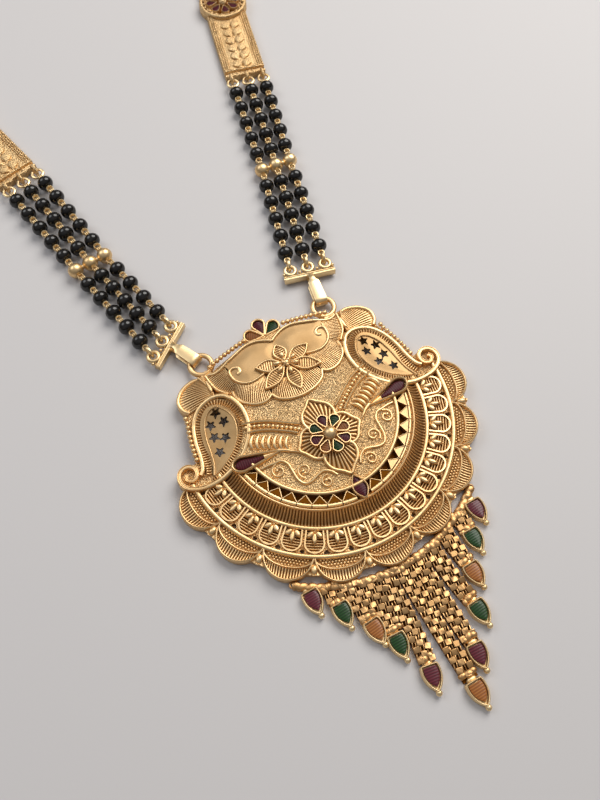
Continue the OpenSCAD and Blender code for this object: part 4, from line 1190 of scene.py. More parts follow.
# Paisleys with their curls, side lobes and eyelets
paisleyLook = {
    "outer": [(11.9, 10.6), (11.3, 9), (11.0, 7), (11.4, 4.4), (12.8, 1.9), (15.2, -0.3), (18.3, -1.6),
              (21.6, -2.0), (24.2, -1.6), (26.0, -0.5), (26.6, 1.1), (26.0, 2.6), (24.6, 3.1),
              (23.4, 2.3), (23.4, 0.9), (24.5, 0.2), (25.4, 0.9), (25.0, 1.7)],
    "inner": [(22.9, 0.5), (22.1, 1.4), (21.5, 3.4), (21.0, 6.6), (19.9, 9.7), (17.9, 11.8), (15.2, 12.5),
              (13.0, 11.8), (11.9, 10.4)],
    "band": [(21.3, -1.25), (19.7, -1.0), (18.0, -0.45), (15.7, 0.75), (13.6, 2.6), (12.4, 4.8),
             (12.1, 7.0), (12.6, 9.2), (13.8, 10.7), (15.4, 11.4), (17.4, 10.8), (19.0, 9.1), (20.0, 6.4),
             (20.5, 3.6), (20.9, 1.6), (21.5, 0.0)],
    "lip": [(20.8, -0.72), (19.1, -0.25), (17.5, 0.55), (15.8, 1.65), (14.1, 3.6), (13.25, 6.0),
            (13.4, 8), (14.4, 9.9), (15.5, 10.6), (17.0, 10.1), (18.3, 8.4), (19.1, 6), (19.5, 3.4),
            (19.95, 1.2), (20.8, -0.72)],
    "bandPoints": 560, "bandWidth": 1.5, "stripePitch": 0.48,
    "granules": [(21.75, 3.4), (21.65, 4.3), (21.5, 5.2), (21.35, 6.1), (21.15, 7.0), (20.95, 7.9),
                 (20.7, 8.8), (20.45, 9.7), (20.2, 10.6), (20.1, 11.5)],
    "lobeOuter": [(19.5, 12.3), (20.4, 13.5), (20.4, 15.4), (18.9, 17.1), (16.7, 17.9), (15.0, 17.7)],
    "lobeInner": [(14.2, 12.5), (14.1, 14.2), (14.6, 16.0), (15.2, 17.6)],
    "leafBase": (14.1, 16.6), "leafTip": (14.5, 12.9),
}
# Two soft rims with a shallow hollow between them
hollowSection = np.array([[1, 0.6], [0.8, 1], [0.4, 0.85], [0, 0.75], [-0.4, 0.85], [-0.8, 1], [-1, 0.6],
                          [-1, -1], [1, -1]])
paisleys = Solid()
for side in bothSides:
    outer = sideCurve(paisleyLook["outer"], 190, side)
    taper = np.clip(np.linspace(7.0, 0, 190), 0, 1)
    sweep(paisleys, outer, 0.42 + 0.48 * taper, 0.62, broadRidge, lift=paisleyZ(outer[:, 0]) - 0.12, sink=1.9)
    inner = sideCurve(paisleyLook["inner"], 110, side)
    sweep(paisleys, inner, 0.85, 0.62, broadRidge, lift=paisleyZ(inner[:, 0]) - 0.12, sink=1.9)
    points = paisleyLook["bandPoints"]
    band = sideCurve(paisleyLook["band"], points, side)
    bandWidths = np.interp(np.arange(points), [0, 60, 500, points - 1], [0.5, 1.0, 1.0, 0.6])
    bandWidths = paisleyLook["bandWidth"] * bandWidths
    # Striped band with painted shade in its grooves
    sweep(paisleys, band, bandWidths, 0.32, hollowSection, lift=paisleyZ(band[:, 0]) - 0.15, sink=0.5,
          relief=stripes(paisleyLook["stripePitch"], 0.26, 0.9))
    lip = sideCurve(paisleyLook["lip"], 120, side)
    sweep(paisleys, lip, 0.26, 0.42, lift=paisleyZ(lip[:, 0]) - 0.05)
    for spread in (-0.26, 0.26):
        coil = offsetPath(outer[110:], spread)
        sweep(paisleys, coil, 0.2, 0.2, lift=paisleyZ(coil[:, 0]) + 0.42, sink=0.3)
    dots = onSide(paisleyLook["granules"], side)
    balls(paisleys, raised(dots + [0.55 * side, 0.1], 2.35), 0.46, 12, 8)
    first, second = (sideCurve(paisleyLook[k], 161, side) for k in ("lobeInner", "lobeOuter"))
    loft(paisleys, first, second, 10, 3.0, 1.95, swelling(0.28), sink=1.4, flutes=fadedFlutes(17))
    sweep(paisleys, second, 0.72, 0.6, broadRidge, lift=1.85, sink=1.8)
    sweep(paisleys, first, 0.42, 0.5, lift=2.9, sink=1.2)
    leafForm(paisleys, *onSide([paisleyLook["leafBase"], paisleyLook["leafTip"]], side), 1.05, 0.75, 2.9,
             fat=0.4, bend=0.2 * side, sink=1.2)
    eyelet = onSide(fan["eyelet"], side)
    ringTube(paisleys, (*eyelet, 1.2), 2.1, 1.0, (1, 0, 0), (0, 1, 0), 48, 12)
    tab = straight((eyelet[0], 17.4), (eyelet[0], 19.1), 6)
    sweep(paisleys, tab, np.linspace(3.0, 2.2, 6), 1.0, flatSection, lift=0.55, sink=0.5)
pendantPiece("paisleys_and_lobes", paisleys, castGold)

# Cloud with its flower, fluted lobes and beaded edge
cloudLook = {
    "topLine": [(-0.0, 17.0), (1.2, 17.7), (2.9, 18.35), (5, 18.4), (7.6, 17.6), (10.2, 16.7),
                (12.0, 16.4), (13.4, 16.9)],
    "bottomLine": [(2.6, 12.5), (3.9, 11.9), (5.4, 11.4), (7.4, 11.25), (9.0, 12.0), (9.85, 13.3),
                   (9.9, 14.9), (9.0, 15.35), (8.1, 14.9), (8.1, 14.1), (8.8, 13.95)],
    "lobeA": [(5.2, 7.3), (6.2, 6.7), (7.6, 6.7), (9.1, 7.4), (10.4, 8.7), (11.0, 10.4), (11.0, 11.6)],
    "lobeAFrom": [(4.4, 11.4), (5.4, 11.3), (6.4, 11.2), (7.5, 11.3), (8.6, 11.8), (9.3, 12.4), (9.6, 13.0)],
    "lobeB": [(-5.2, 7.3), (-4.4, 5.9), (-2.5, 4.85), (0, 4.45), (2.5, 4.85), (4.4, 5.9), (5.2, 7.3)],
    "lobeBFrom": [(-3.4, 10.6), (-2.6, 9.6), (-1.4, 9.0), (0, 8.8), (1.4, 9.0), (2.6, 9.6), (3.4, 10.6)],
    "patchFrom": [(9.2, 12.5), (9.9, 14.6), (10.1, 16.6)],
    "patchTo": [(11.1, 11.2), (13.2, 13.4), (14.0, 16.8)],
    "patchEdge": [(13.9, 17.0), (13.7, 15.2), (13.2, 13.4), (11.8, 11.7)],
    "petals": [(90, 4.2), (18, 5.6), (-27, 6.3), (-90, 5.8), (207, 6.3), (162, 5.6)],
    "flowerAt": (0.0, 11.4), "petalWidth": 2.35,
    "edgeBeads": [(12.2, 18.35), (11.3, 18.65), (10.4, 18.9), (9.5, 19.15), (8.6, 19.35), (7.7, 19.55),
                  (6.8, 19.75), (5.9, 19.95), (5.0, 20.1), (4.1, 20.25)],
}


def flutedLobe(solid, first, second, firstZ, flutes):
    # Fluted surface from first down to the sheet along second, where a rim closes it
    loft(solid, first, second, 10, firstZ, onGround(second, 0.32), swelling(0.12), sink=1.0,
         flutes=openFlutes(flutes))
    sweep(solid, second, 0.56, 0.42, broadRidge, lift=onGround(second, 0.22), sink=0.7)


cloud = Solid()
for side in bothSides:
    line = sideCurve(cloudLook["topLine"], 90, side)
    sweep(cloud, line, 0.62, 0.6, broadRidge, lift=np.interp(abs(line[:, 0]), [9, 13], [4.85, 3.6]), sink=1.2)
    line = sideCurve(cloudLook["bottomLine"], 120, side)
    sweep(cloud, line, np.interp(np.linspace(0, 1, 120), [0, 0.7, 1], [0.5, 0.55, 0.85]), 0.5, lift=4.9,
          sink=0.7)
    flutedLobe(cloud, *(sideCurve(cloudLook[k], 181, side) for k in ("lobeAFrom", "lobeA")), 4.95, 22)
    first, second = (sideCurve(cloudLook[k], 181, side) for k in ("patchFrom", "patchTo"))
    loft(cloud, first, second, 9, 4.7, 3.55, swelling(0.15), sink=1.6, flutes=fadedFlutes(17))
    line = sideCurve(cloudLook["patchEdge"], 40, side)
    sweep(cloud, line, 0.5, 0.5, lift=3.5, sink=1.4)
    dots = onSide(cloudLook["edgeBeads"], side)
    balls(cloud, raised(dots + [0.1 * side, 0.3], 3.1), 0.48, 12, 8)
flutedLobe(cloud, *(curveThrough(cloudLook[k], 241) for k in ("lobeBFrom", "lobeB")), 5.2, 30)
flowerMiddle = np.array(cloudLook["flowerAt"])
for turn, length in cloudLook["petals"]:
    base, tip = flowerMiddle + polar(0.7, turn), flowerMiddle + polar(length, turn)
    outline = turnedPoints(outlineOf(length - 0.7, cloudLook["petalWidth"], 0.5, leafWidth, 44),
                           turn - 90, base)
    sweep(cloud, outline, 0.46, 0.62, roundSection(7, 0.45), lift=5.2, sink=0.4, closed=True)
    # Striped petal with painted shade in its grooves
    leafForm(cloud, base, tip, cloudLook["petalWidth"], 0.28, 5.3, fat=0.5, section=flatSection, count=76,
             relief=stripes(0.44, 0.12, 0.9), sink=0.6)
    spot = flowerMiddle + polar(1.75, turn)
    balls(cloud, [[*spot, 5.95]], 0.42, 12, 8, stretch=(1.7, 1.0, 1.0), turn=math.radians(turn))
    stem = straight(flowerMiddle + polar(0.5, turn), spot, 5)
    sweep(cloud, stem, 0.35, 0.4, lift=5.6, sink=0.3)
balls(cloud, [[*flowerMiddle, 5.65]], 0.72, 18, 10)
balls(cloud, [[*(flowerMiddle + polar(0.62, a)), 6.0] for a in (30, 150, 270)], 0.36, 10, 7)
pendantPiece("cloud_and_flower", cloud, castGold)
print("pendant made")

# Fringe: a wavy solder bar, nine flat strips of box chain, eleven enamel drops
fringeLook = {
    "barR": 29.75, "barTurn": 37, "barWidth": 1.15,
    "blockPitch": 1.84, "linePitch": (1.04, 0.98), "linesInStrip": 3,
    "block": (0.98, 1.00, 0.60), "cheek": (1.0, 0.17, 0.46), "cut": 0.16,    # mm, the cut as a share
    "twist": 0.2,                       # radians that each link is turned out of its line
    "tilt": 0.13, "aside": 0.03, "turned": 0.08, "lifted": 0.07,    # how uneven the links lie
    "bendLate": 2.4,
    # Each strip's X at the bar, then its end
    "strips": [(-12.7, -12.7, -29.9), (-9.65, -9.5, -34.7), (-6.55, -6.9, -38.4), (-3.5, -4.75, -45.0),
               (-0.3, 0.0, -50.5), (2.8, 3.2, -45.8), (6.0, 7.0, -40.3), (9.4, 9.9, -34.7),
               (13.0, 13.2, -29.9)],
    # Top of each drop and its turn in degrees
    "drops": [(-16.0, -25.875, 0), (-12.65, -30.0, 0), (-9.5, -34.875, 4), (-7.125, -38.625, -3),
              (-4.85, -45.3, -10), (0.0, -50.75, 0), (3.3, -46.05, -5), (7.1, -40.5, 3),
              (9.9, -34.875, 2), (13.2, -30.0, 0), (16.5, -25.875, 2)],
    "dropWidth": 3.15, "dropLength": 4.35, "bezel": 0.38, "tipBall": 0.54,
}
fringe = Solid()
barRun = np.linspace(270 - fringeLook["barTurn"], 270 + fringeLook["barTurn"], 150)
wave = 0.5 + 0.5 * np.sin(barRun * 1.9) * np.sin(barRun * 0.53 + 1.0)
sweep(fringe, polar(fringeLook["barR"] + 0.10 * np.sin(barRun * 2.3), barRun),
      fringeLook["barWidth"] * (1.1 + 0.25 * wave), 0.62 + 0.3 * wave, broadRidge, lift=0.45, sink=0.45)
for end in (barRun[0], barRun[-1]):
    ringTube(fringe, (*polar(fringeLook["barR"], end), 0.72), 0.42, 0.38, (1, 0, 0), (0, 1, 0), 20, 8)


def cornerAt(axis, way, p, q):
    # Number of a box's corner, with way on one axis and p and q on the other two
    signs = np.insert([p, q], axis, way)
    return int(np.dot(signs > 0, (4, 2, 1)))


def blocks(solid, centres, headings, size, tilts):
    # Copies of a box with cut edges: 24 corners, 6 sides, 12 edges and 8 corner faces;
    # each is turned in the plane and leans by its two slopes. At each corner of the
    # box three points stay on one of its sides each and step back on the others
    corner = np.array([[i, j, k] for i in bothSides for j in bothSides for k in bothSides])
    stepped = corner[:, None] * (1 - fringeLook["cut"] * (1 - np.eye(3)))
    points = stepped.reshape(-1, 3) / 2 * size
    quads, threes = [], [[3 * i, 3 * i + 1, 3 * i + 2] for i in range(8)]
    for axis in range(3):
        others = [d for d in range(3) if d != axis]
        for way in bothSides:
            ring = []
            for p, q in ((-1, -1), (1, -1), (1, 1), (-1, 1)):
                ring.append(3 * cornerAt(axis, way, p, q) + axis)
            quads.append(ring)
        for p in bothSides:
            for q in bothSides:
                i, j = cornerAt(axis, -1, p, q), cornerAt(axis, 1, p, q)
                quads.append([3 * i + others[0], 3 * j + others[0], 3 * j + others[1], 3 * i + others[1]])
    middle = points.mean(0)
    for faces in (quads, threes):
        for f in faces:
            p = points[f]
            if np.dot(np.cross(p[1] - p[0], p[2] - p[0]), p.mean(0) - middle) < 0:
                f.reverse()
    c, s = np.cos(headings)[:, None], np.sin(headings)[:, None]
    x, y, z = points.T[:, None, :]
    leant = z + tilts[:, :1] * x + tilts[:, 1:] * y
    placed = np.stack([x * c - y * s, x * s + y * c, leant], axis=2) + centres[:, None, :]
    shift = np.arange(len(centres))[:, None, None] * len(points)
    solid.add(placed, (np.array(quads)[None] + shift).reshape(-1, 4),
              (np.array(threes)[None] + shift).reshape(-1, 3))


def stripPath(x, endX, endY):
    # Middle of a strip from the bar to its drop: x + (endX - x) t^bendLate, so
    # that it bends mostly near the drop
    t = np.linspace(0, 1, 60)
    topY = -math.sqrt(fringeLook["barR"] ** 2 - x ** 2)
    return np.stack([x + (endX - x) * t ** fringeLook["bendLate"], topY + (endY - topY) * t], axis=1)


luck = np.random.default_rng(11)
for x, endX, endY in fringeLook["strips"]:
    path = stripPath(x, endX, endY)
    run = pathRun(path)
    side = sideways(path)
    spread = np.interp(run, [0, run[-1]], fringeLook["linePitch"])
    # Strip under the links, painted dark as the shade in the gaps between them
    sweep(fringe, path, spread * 2.9, 0.16, flatSection, lift=0.12, sink=0.1, shade=1.08)
    for line in range(fringeLook["linesInStrip"]):
        aside = line - (fringeLook["linesInStrip"] - 1) / 2
        at = np.arange(0.35 + (line % 2) * fringeLook["blockPitch"] / 2, run[-1] - 0.2,
                       fringeLook["blockPitch"])
        # A link seen on its face, then the two cheeks of the link that goes through it
        for size, shift, outward, z in (("block", 0.0, 0.0, 0.84), ("cheek", 0.5, -0.27, 0.58),
                                        ("cheek", 0.5, 0.27, 0.58)):
            spot = at + shift * fringeLook["blockPitch"]
            spot = spot[spot < run[-1]]
            n = len(spot)
            lane = path + side * (aside * spread + outward)[:, None]
            centres = np.stack([np.interp(spot, run, lane[:, d]) for d in (0, 1)], axis=1)
            heading = np.arctan2(np.interp(spot, run, -side[:, 0]), np.interp(spot, run, side[:, 1]))
            heights = z + fringeLook["lifted"] * luck.normal(0, 1, n)
            centres = centres + fringeLook["aside"] * luck.normal(0, 1, (n, 2))
            heading = heading - fringeLook["twist"] + fringeLook["turned"] * luck.normal(0, 1, n)
            blocks(fringe, raised(centres, heights), heading, fringeLook[size],
                   fringeLook["tilt"] * luck.normal(0, 1, (n, 2)))
    # Lumps of solder that hold the lines together over the drop and under the bar; a negative shade takes the
    # painted hollow shade off them
    for place, wide in ((path[-4], 0.95), (path[1], 1.0)):
        lumps = place + side[-1] * np.linspace(-wide, wide, 3)[:, None] + 0.12 * luck.normal(0, 1, (3, 2))
        balls(fringe, raised(lumps, 0.74), np.array([0.62, 0.8, 0.62]) + 0.08 * luck.random(3), 14, 9,
              stretch=(1.15, 0.9, 0.68), turn=luck.normal(0, 1, 3), shade=-0.4)
makePiece("box_chain_fringe", fringe, chainGold, ["fringe"], crease=30)


def dropWidth(u, width, length):
    # Two arcs, half = sqrt(r^2 - y^2) - (r - width / 2), that meet in a point below the
    # belly, cut above by an arc over a straight edge
    belly = length * 0.27
    r = ((length - belly) ** 2 + width * width / 4) / width
    y = -u * length
    half = np.sqrt(np.maximum(r * r - (y + belly) ** 2, 0)) - (r - width / 2)
    cap = width * 0.34 + 0.55 * np.sqrt(np.maximum(width * width - (y + width) ** 2, 0))
    return np.maximum(2 * np.minimum(half, cap), 0.05)


w, length, inset = fringeLook["dropWidth"], fringeLook["dropLength"], fringeLook["bezel"] * 0.5
u = 0.5 - 0.5 * np.cos(np.linspace(0, np.pi, 44))
middleX = np.zeros_like(u)
for i, (x, y, turn) in enumerate(fringeLook["drops"]):
    colour = enamelColours["drop_enamel"][i]
    place = lambda points: turnedPoints(points, turn, (x, y))
    setting, face = Solid(), Solid()
    body = place(np.stack([middleX, -0.15 - u * (length - 0.2)], axis=1))
    sweep(setting, body, dropWidth(u, w - 0.2, length - 0.2), 0.45, flatSection, lift=0.1, sink=0.1)
    half = dropWidth(u, w - inset, length - inset) / 2
    rimX = np.concatenate([half, -half[-2::-1], np.linspace(-half[0], half[0], 9)[1:-1]])
    rimY = -inset * 0.6 - np.concatenate([u, u[-2::-1], np.zeros(7)]) * (length - inset * 1.2)
    edge = place(np.stack([rimX, rimY], axis=1))
    sweep(setting, edge, fringeLook["bezel"], 0.75, broadRidge, lift=0.6, sink=0.55, closed=True)
    balls(setting, [[*place([(0, -length - 0.18)])[0], 0.65]], fringeLook["tipBall"], 18, 12)
    balls(setting, [[*place([(0, 0.25)])[0], 0.6]], 0.55, 12, 8, stretch=(1.7, 0.9, 0.8),
          turn=math.radians(turn))
    makePiece(f"drop_setting_{i + 1}", setting, bezelGold, [f"drop_{i + 1}"])
    run = place(np.stack([middleX, -0.42 - u * (length - 1.15)], axis=1))
    sweep(face, run, dropWidth(u, w - 2 * 0.36, length - 1.15), 0.58, domeSection, lift=0.64, sink=0.0)
    makePiece(f"shown_drop_enamel_{i + 1}", face, enamels[colour],
              [f"drop_enamel_{i + 1}"])
print("fringe made")

# Strands: end bars, black beads on their pins, spacer balls and side plates
strandLook = {
    # Place from the pendant's eyelet and turn in degrees of end bar, spacer and side plate
    "routes": {1: [(1.3, 7.8, -14), (8.55, 35.8, -4), (15.3, 63.2, -13.8)],
               -1: [(-3.2, 6.6, 38), (-9.45, 31.45, 6), (-14.5, 59.8, 13.8)]},
    "beadsBelow": {1: (5, 5, 5), -1: (5, 5, 4)}, "beadsAbove": 5,
    "z": 1.6, "beadD": 3.2, "beadL": 2.5, "hole": 0.6, "ballD": 3.1, "ballL": 2.8,
    "loopFrom": 1.32, "loopWire": 0.25, "jumpR": 1.16, "jumpWire": 0.6, "jumpPlay": 0.3,
    "loopLap": 0.17,                    # mm that a loop reaches past the middle between beads
    "ringsTake": 2.2,                   # mm of the way that eyelet and jump ring take up
    "barHalf": 5.2, "barPitch": 3.6, "spacerPitch": 3.25, "platePitch": 3.6, "eyeOut": 1.15,
    "barWidth": 0.9, "barHeight": 0.95, "barLines": (-0.27, 0.27), "barEyeR": 1.02, "barEyeWire": 0.8,
    "barBalls": (-1.8, 1.8, -5.0, 5.0), "barBallR": 0.34,
}


def unitOf(v):
    # v / |v|
    return np.asarray(v, float) / np.linalg.norm(v)


def stopAt(side, n):
    # Place and turn of a side's end bar (0), spacer (1) or side plate (2)
    x, y, turn = strandLook["routes"][side][n]
    return onSide(fan["eyelet"], side) + [x, y], turn


def lathe(solid, centre, axis, profile, around):
    # Closed line of (along, radius) pairs turned round an axis in the plane:
    # centre + axis * along + radius (cos a across + sin a up)
    axis = np.array([*unitOf(axis), 0.0])
    across = np.array([-axis[1], axis[0], 0.0])
    a = np.arange(around)[:, None, None] * 2 * np.pi / around
    along, radius = profile[None, :, 0, None], profile[None, :, 1, None]
    points = np.asarray(centre, float) + axis * along + radius * (np.cos(a) * across + np.sin(a) * up)
    solid.add(points, gridQuads(around, len(profile), wrapRows=True, wrapColumns=True))


def beadProfile(diameter, length, hole, power=2.3):
    # radius = d/2 (1 - |x / (l/2 + a little)|^power)^(1/2), closed through the hole
    x = np.linspace(-length / 2, length / 2, 15)
    r = diameter / 2 * np.sqrt(1 - np.abs(x / (length / 2 * 1.06)) ** power)
    holeX = length / 2 * 0.93
    return np.vstack([np.stack([x, r], axis=1), [[holeX, hole / 2], [-holeX, hole / 2]]])


def strandEnds(side, s):
    # Row s of a side: its ball in the spacer and its eyelets on end bar and side plate
    out = strandLook["eyeOut"]
    spots = (("spacerPitch", 0, 1), ("barPitch", 0.6 + out, 0), ("platePitch", -out, 2))
    return [turnedPoints([(s * strandLook[pitch], y)], *stopAt(side, n)[::-1])[0] for pitch, y, n in spots]


def pitchOf(first, last, beads):
    # Distance from bead to bead: what the eyelet and the jump ring leave of the way,
    # over the beads and half a pitch for the last loop
    return (np.linalg.norm(last - first) - strandLook["ringsTake"]) / (beads + 0.5)


def pinLoops(solid, spot, direction, pitchBehind, pitchAhead):
    # Loops at both ends of one pin, flat behind and upright ahead, each of three
    # wires side by side with a turn round its neck
    d = np.array([*direction, 0.0])
    level = np.array([-d[1], d[0], 0.0])
    near = strandLook["loopFrom"]
    for sign, pitch, other, beside in ((-1, pitchBehind, level, 0.24 * up),
                                       (1, pitchAhead, up, 0.36 * level)):
        r = (pitch / 2 + strandLook["loopLap"] - near) / 2
        for k in (-1, 0, 1):
            ringTube(solid, spot + sign * d * (near + r) + beside * k, r, strandLook["loopWire"], d,
                     other, 14, 6)
        ringTube(solid, spot + sign * d * near, 0.3, 0.26, level, up, 10, 5)
    lathe(solid, spot, direction, np.array([(-near, 0.02), (-near, 0.12), (near, 0.12), (near, 0.02)]), 8)


strapLook = {
    "shorter": 0.562,                   # mm from the strap's far end to the eyelet's middle
    "bendR": 0.9, "axisZ": 1.2,
    "widthAt": [0.0, 0.9, 1.5, 2.1],    # mm from the bar; the last width is at the far end
    "width": [1.5, 1.05, 1.2, 2.2, 2.4],
}


def addStrap(solid, bar, eyelet):
    # Strap: a line out above, round a half circle and back below, in the upright
    # plane from the bar to the pendant's eyelet, thickened along its normal and
    # widened across the plane
    way = unitOf(eyelet - bar)
    reach = np.linalg.norm(eyelet - bar) - strapLook["shorter"]
    turnAt, r, z = reach - 1.15, strapLook["bendR"], strapLook["axisZ"]
    bend = np.linspace(np.pi / 2, -np.pi / 2, 15)
    line = np.vstack([straight((0.1, z + r), (turnAt, z + r), 22)[:-1],
                      np.stack([turnAt + r * np.cos(bend), z + r * np.sin(bend)], axis=1),
                      straight((turnAt, z - r), (0.1, z - r), 22)[1:]])
    line[:, 1] -= 0.45 * smoothStep(1.2, 0.0, line[:, 0]) * (line[:, 1] > z)
    step = np.gradient(line, axis=0)
    out = np.stack([-step[:, 1], step[:, 0]], axis=1) / np.linalg.norm(step, axis=1, keepdims=True)
    width = np.interp(line[:, 0], [*strapLook["widthAt"], reach], strapLook["width"])
    level = np.array([-way[1], way[0]])
    corners = []
    for away, thick in ((-1, 0.19), (-0.86, 0.25), (0.86, 0.25), (1, 0.19),
                        (1, -0.19), (0.86, -0.25), (-0.86, -0.25), (-1, -0.19)):
        at = line + out * thick
        plane = bar + way * at[:, :1] + level * (away * width / 2)[:, None]
        corners.append(raised(plane, at[:, 1]))
    sides = len(corners)
    points = np.stack(corners, axis=1).reshape(-1, 3)
    solid.add(np.vstack([points, endMiddles(points, sides)]), gridQuads(len(line), sides, wrapColumns=True),
              endCaps(len(line), sides))


ballProfile = beadProfile(strandLook["ballD"], strandLook["ballL"], strandLook["hole"], 2.05)
for side, word in zip(bothSides, ("left", "right")):
    beads, pins, spacer, endBar = Solid(), Solid(), Solid(), Solid()
    z = strandLook["z"]
    profile = beadProfile(strandLook["beadD"], strandLook["beadL"], strandLook["hole"])
    for s in (-1, 0, 1):
        ball, low, high = strandEnds(side, s)
        below = strandLook["beadsBelow"][side][s + 1]
        above = strandLook["beadsAbove"]
        down, ahead = unitOf(low - ball), unitOf(high - ball)
        pitchDown, pitchUp = pitchOf(ball, low, below), pitchOf(ball, high, above)
        lathe(spacer, (*ball, z), ahead - down, ballProfile, 32)
        pinLoops(pins, np.array([*ball, z]), unitOf(ahead - down), pitchDown, pitchUp)
        for count, pitch, way in ((below, pitchDown, down), (above, pitchUp, ahead)):
            for k in range(1, count + 1):
                spot = np.array([*(ball + k * pitch * way), z])
                lathe(beads, spot, way, profile * [1, 1 + 0.012 * math.sin(7 * k + 3 * s)], 26)
                pinLoops(pins, spot, way if way is ahead else -way, pitch, pitch)
        # Jump rings past the last loops: upright below, flat above
        for count, pitch, way, other in ((below, pitchDown, down, up),
                                         (above, pitchUp, ahead, (-ahead[1], ahead[0], 0))):
            reach = (count + 0.5) * pitch - strandLook["jumpPlay"] + strandLook["jumpR"]
            ringTube(pins, (*(ball + reach * way), z), strandLook["jumpR"], strandLook["jumpWire"],
                     (*way, 0), other, 28, 8)
    middle, turn = stopAt(side, 1)
    for s in (-0.5, 0.5):
        lathe(spacer, (*turnedPoints([(s * strandLook["spacerPitch"], 0)], turn, middle)[0], z),
              polar(1.0, turn), np.array([(-0.55, 0.05), (-0.55, 0.5), (0.55, 0.5), (0.55, 0.05)]), 16)
    makePiece("black_beads_" + word, beads, blackGlass, ["bead_string_" + word], crease=60)
    makePiece("bead_loops_" + word, pins, wireGold, ["bead_pins_" + word])
    makePiece("spacer_balls_" + word, spacer, satinGold, ["spacer_" + word], crease=60)

    # End bar: a thin bar with two lines along it and a wavy wire beside it, three flat
    # eyelets, small balls, and a strap round the pendant's eyelet
    bar, turn = stopAt(side, 0)
    local = lambda points: turnedPoints(points, turn, bar)
    half = strandLook["barHalf"]
    sweep(endBar, local(straight((-half, 0), (half, 0), 20)), strandLook["barWidth"],
          strandLook["barHeight"], flatSection, lift=0.8, sink=0.3)
    for row in strandLook["barLines"]:
        sweep(endBar, local(straight((0.05 - half, row), (half - 0.05, row), 20)), 0.3, 0.2, lift=1.72,
              sink=0.15)
    wavyX = np.linspace(0.1 - half, half - 0.1, 90)
    wavy = local(np.stack([wavyX, 0.75 + 0.28 * np.cos(wavyX * 2 * np.pi / strandLook["barPitch"])], axis=1))
    sweep(endBar, wavy, 0.42, 0.9, lift=0.9, sink=0.5)
    for s in (-1, 0, 1):
        eye = local([(s * strandLook["barPitch"], 0.6 + strandLook["eyeOut"])])[0]
        ringTube(endBar, (*eye, z), strandLook["barEyeR"], strandLook["barEyeWire"], (1, 0, 0),
                 (0, 1, 0), 28, 10)
    for x in strandLook["barBalls"]:
        balls(endBar, [[*local([(x, 1.15)])[0], 1.5]], strandLook["barBallR"], 10, 7)
    addStrap(endBar, bar, onSide(fan["eyelet"], side))
    makePiece("end_bar_with_strap_" + word, endBar, wireGold, ["end_bar_" + word])
print("strands made")

# Side plates: granulated rails, a column of paired leaves, a boss with an enamel flower;
# Y is 0 at the lower end and the boss stands at half
plateLook = {
    "width": 9.4, "half": 24.3, "taper": 6.58, "tipWidth": 1.6, "top": 1.2,
    "railX": 3.0, "ridgeHalf": 4.6, "ridgeWave": 1.8,
    "grain": 0.31, "grainPitch": 0.56, "grainRows": ((3.5, 0.0), (3.98, 0.28), (4.46, 0.0)),
    "leafPitch": 2.6, "leafRuns": ((2.6, 17.0), (31.6, 46.0)), "leafWidth": 2.3,
    "boss": 5.6, "bossBall": 1.05, "floorR": 5.3, "floorHalf": 5.2,
    "rimIn": 0.35, "grainsIn": 0.85, "ringIn": 1.25,    # from the boss's edge
    "petals": 8, "petalFrom": 1.35, "petalLength": 2.7, "petalWidth": 1.85, "petalFat": 0.62,
    "enamelFrom": 0.1, "enamelTo": 2.6, "enamelWidth": 1.6,    # the first two from the petal's base
}
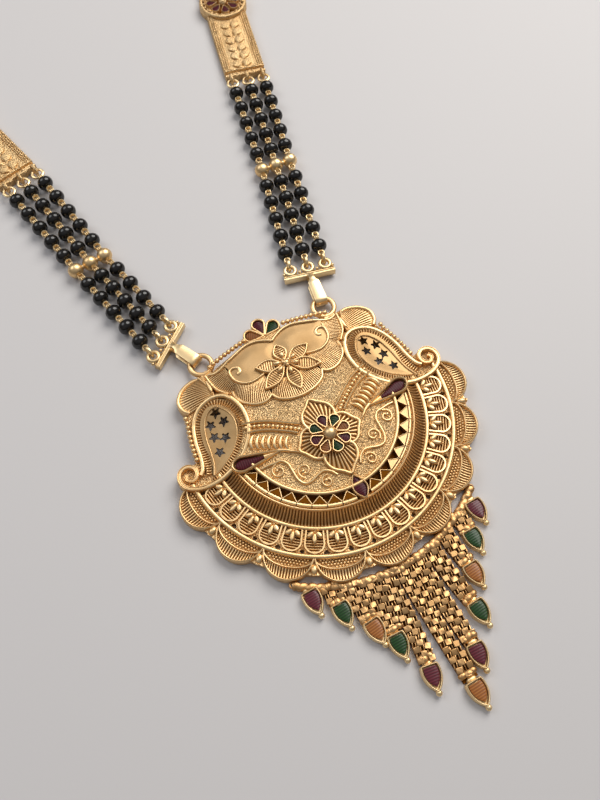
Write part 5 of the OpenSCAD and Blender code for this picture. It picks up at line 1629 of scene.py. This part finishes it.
for side, word in zip(bothSides, ("left", "right")):
    plate, enamel = Solid(), Solid()
    spot, turn = stopAt(side, 2)
    local = lambda points: turnedPoints(points, turn, spot)
    long, low = 2 * plateLook["half"], plateLook["top"]
    bossAt = np.array([0, plateLook["half"]])
    around = np.arange(0, 360, 5)
    sweep(plate, local(straight((0, 0), (0, long), 60)), plateLook["width"], 1.2, flatSection, lift=0.1,
          sink=0.1)
    for x in np.multiply(bothSides, plateLook["railX"]):
        sweep(plate, local(straight((x, 1.6), (x, long), 90)), 0.34, 0.22, lift=low, sink=0.3)
    runY = np.arange(1.9, long - 0.3, plateLook["grainPitch"])
    for row, shift in plateLook["grainRows"]:
        for way in bothSides:
            grains = local(np.stack([np.full_like(runY, row * way), runY + shift], axis=1))
            balls(plate, raised(grains, 1.30), plateLook["grain"], 7, 5)
    # Two ridges across the lower end, the second one wavy
    half = plateLook["ridgeHalf"]
    sweep(plate, local(straight((-half, 1.5), (half, 1.5), 20)), 0.6, 0.75, lift=low, sink=0.4)
    waves = 0.9 + 0.2 * np.cos(np.linspace(-half, half, 40) * 2 * np.pi / plateLook["ridgeWave"])
    sweep(plate, local(straight((-half, 0.3), (half, 0.3), 40)), waves, 0.7, roundSection(9, 0.6), lift=0.9,
          sink=0.8)
    for base in np.concatenate([np.arange(*run, plateLook["leafPitch"]) for run in plateLook["leafRuns"]]):
        for way in bothSides:
            leafForm(plate, *local([(0.25 * way, base - 0.7), (1.7 * way, base + 2.2)]),
                     plateLook["leafWidth"], 0.6, low, fat=0.6, count=16, sink=0.3,
                     section=roundSection(9, 0.45))
    for x in (-1.8, 1.8):
        leafForm(plate, *local([(x, 1.3), (x, -0.2)]), 0.8, 0.8, 0.9, fat=0.5, count=12, sink=0.7)
    # Boss: rim, inner ring, ball, round floor, whose width is 2 sqrt(r^2 - y^2) and whose flat relief gives
    # it full painted shade, granules and the enamel petals in their wires
    boss, floorHalf = plateLook["boss"], plateLook["floorHalf"]
    sweep(plate, local(polar(boss - plateLook["rimIn"], around) + bossAt), 0.9, 1.15, broadRidge,
          lift=1.15, sink=1.1, closed=True)
    sweep(plate, local(polar(boss - plateLook["ringIn"], around) + bossAt), 0.4, 0.7, lift=low, sink=0.4,
          closed=True)
    balls(plate, [[*local([bossAt])[0], 1.7]], plateLook["bossBall"], 20, 12)
    floorY = np.linspace(-floorHalf, floorHalf, 40)
    floorWidths = 2 * np.sqrt(np.maximum(plateLook["floorR"] ** 2 - floorY ** 2, 0.01))
    sweep(plate, local(straight(bossAt - [0, floorHalf], bossAt + [0, floorHalf], 40)), floorWidths, 0.2,
          flatSection, lift=low, sink=1.0, relief=lambda run, across: -0.02 + 0 * run)
    grains = local(polar(boss - plateLook["grainsIn"], np.arange(0, 360, 15)) + bossAt)
    balls(plate, raised(grains, 2.0), 0.34, 8, 6)
    petal = outlineOf(plateLook["petalLength"], plateLook["petalWidth"], plateLook["petalFat"], tearWidth)
    enamelWidths = tearWidth(np.linspace(0, 1, 24), plateLook["enamelWidth"], plateLook["petalFat"])
    for i in range(plateLook["petals"]):
        turned = i * 360 / plateLook["petals"]
        base = bossAt + polar(plateLook["petalFrom"], 90 + turned)
        sweep(plate, local(turnedPoints(petal, turned, base)), 0.24, 0.65, lift=1.6, sink=0.3, closed=True)
        ends = [base + polar(plateLook[k], 90 + turned) for k in ("enamelFrom", "enamelTo")]
        sweep(enamel, local(straight(*ends, 24)), enamelWidths, 0.34, domeSection, lift=1.72, sink=0.0)
    # Tapered upper end, and the eyelets at both ends
    ends = local(straight((0, long - 0.3), (0, long + plateLook["taper"]), 12))
    sweep(plate, ends, np.linspace(plateLook["width"], plateLook["tipWidth"], 12), 1.75, flatSection,
          lift=0.2, sink=0.2)
    for x in (-1, 1):
        edge = straight((x * 4.3, long), (x * 0.7, long + plateLook["taper"] - 0.2), 16)
        sweep(plate, local(edge), 0.5, 0.4, lift=1.85, sink=0.4)
    for x in (-1, 0, 1):
        eye = local([(x * strandLook["platePitch"], -strandLook["eyeOut"])])[0]
        ringTube(plate, (*eye, strandLook["z"]), 1.0, 0.7, (*polar(1.0, turn + 90), 0), up, 24, 8)
    ringTube(plate, (*local([(0, long + plateLook["taper"] + 1.3)])[0], 1.8), 1.3, 1.0, (1, 0, 0),
             (0, 1, 0), 32, 10)
    makePiece("side_plate_relief_" + word, plate, paleGold, ["side_plate_" + word])
    makePiece("boss_flower_" + word, enamel, deepEnamels[0], ["boss_enamel_" + word])
print("side plates made")
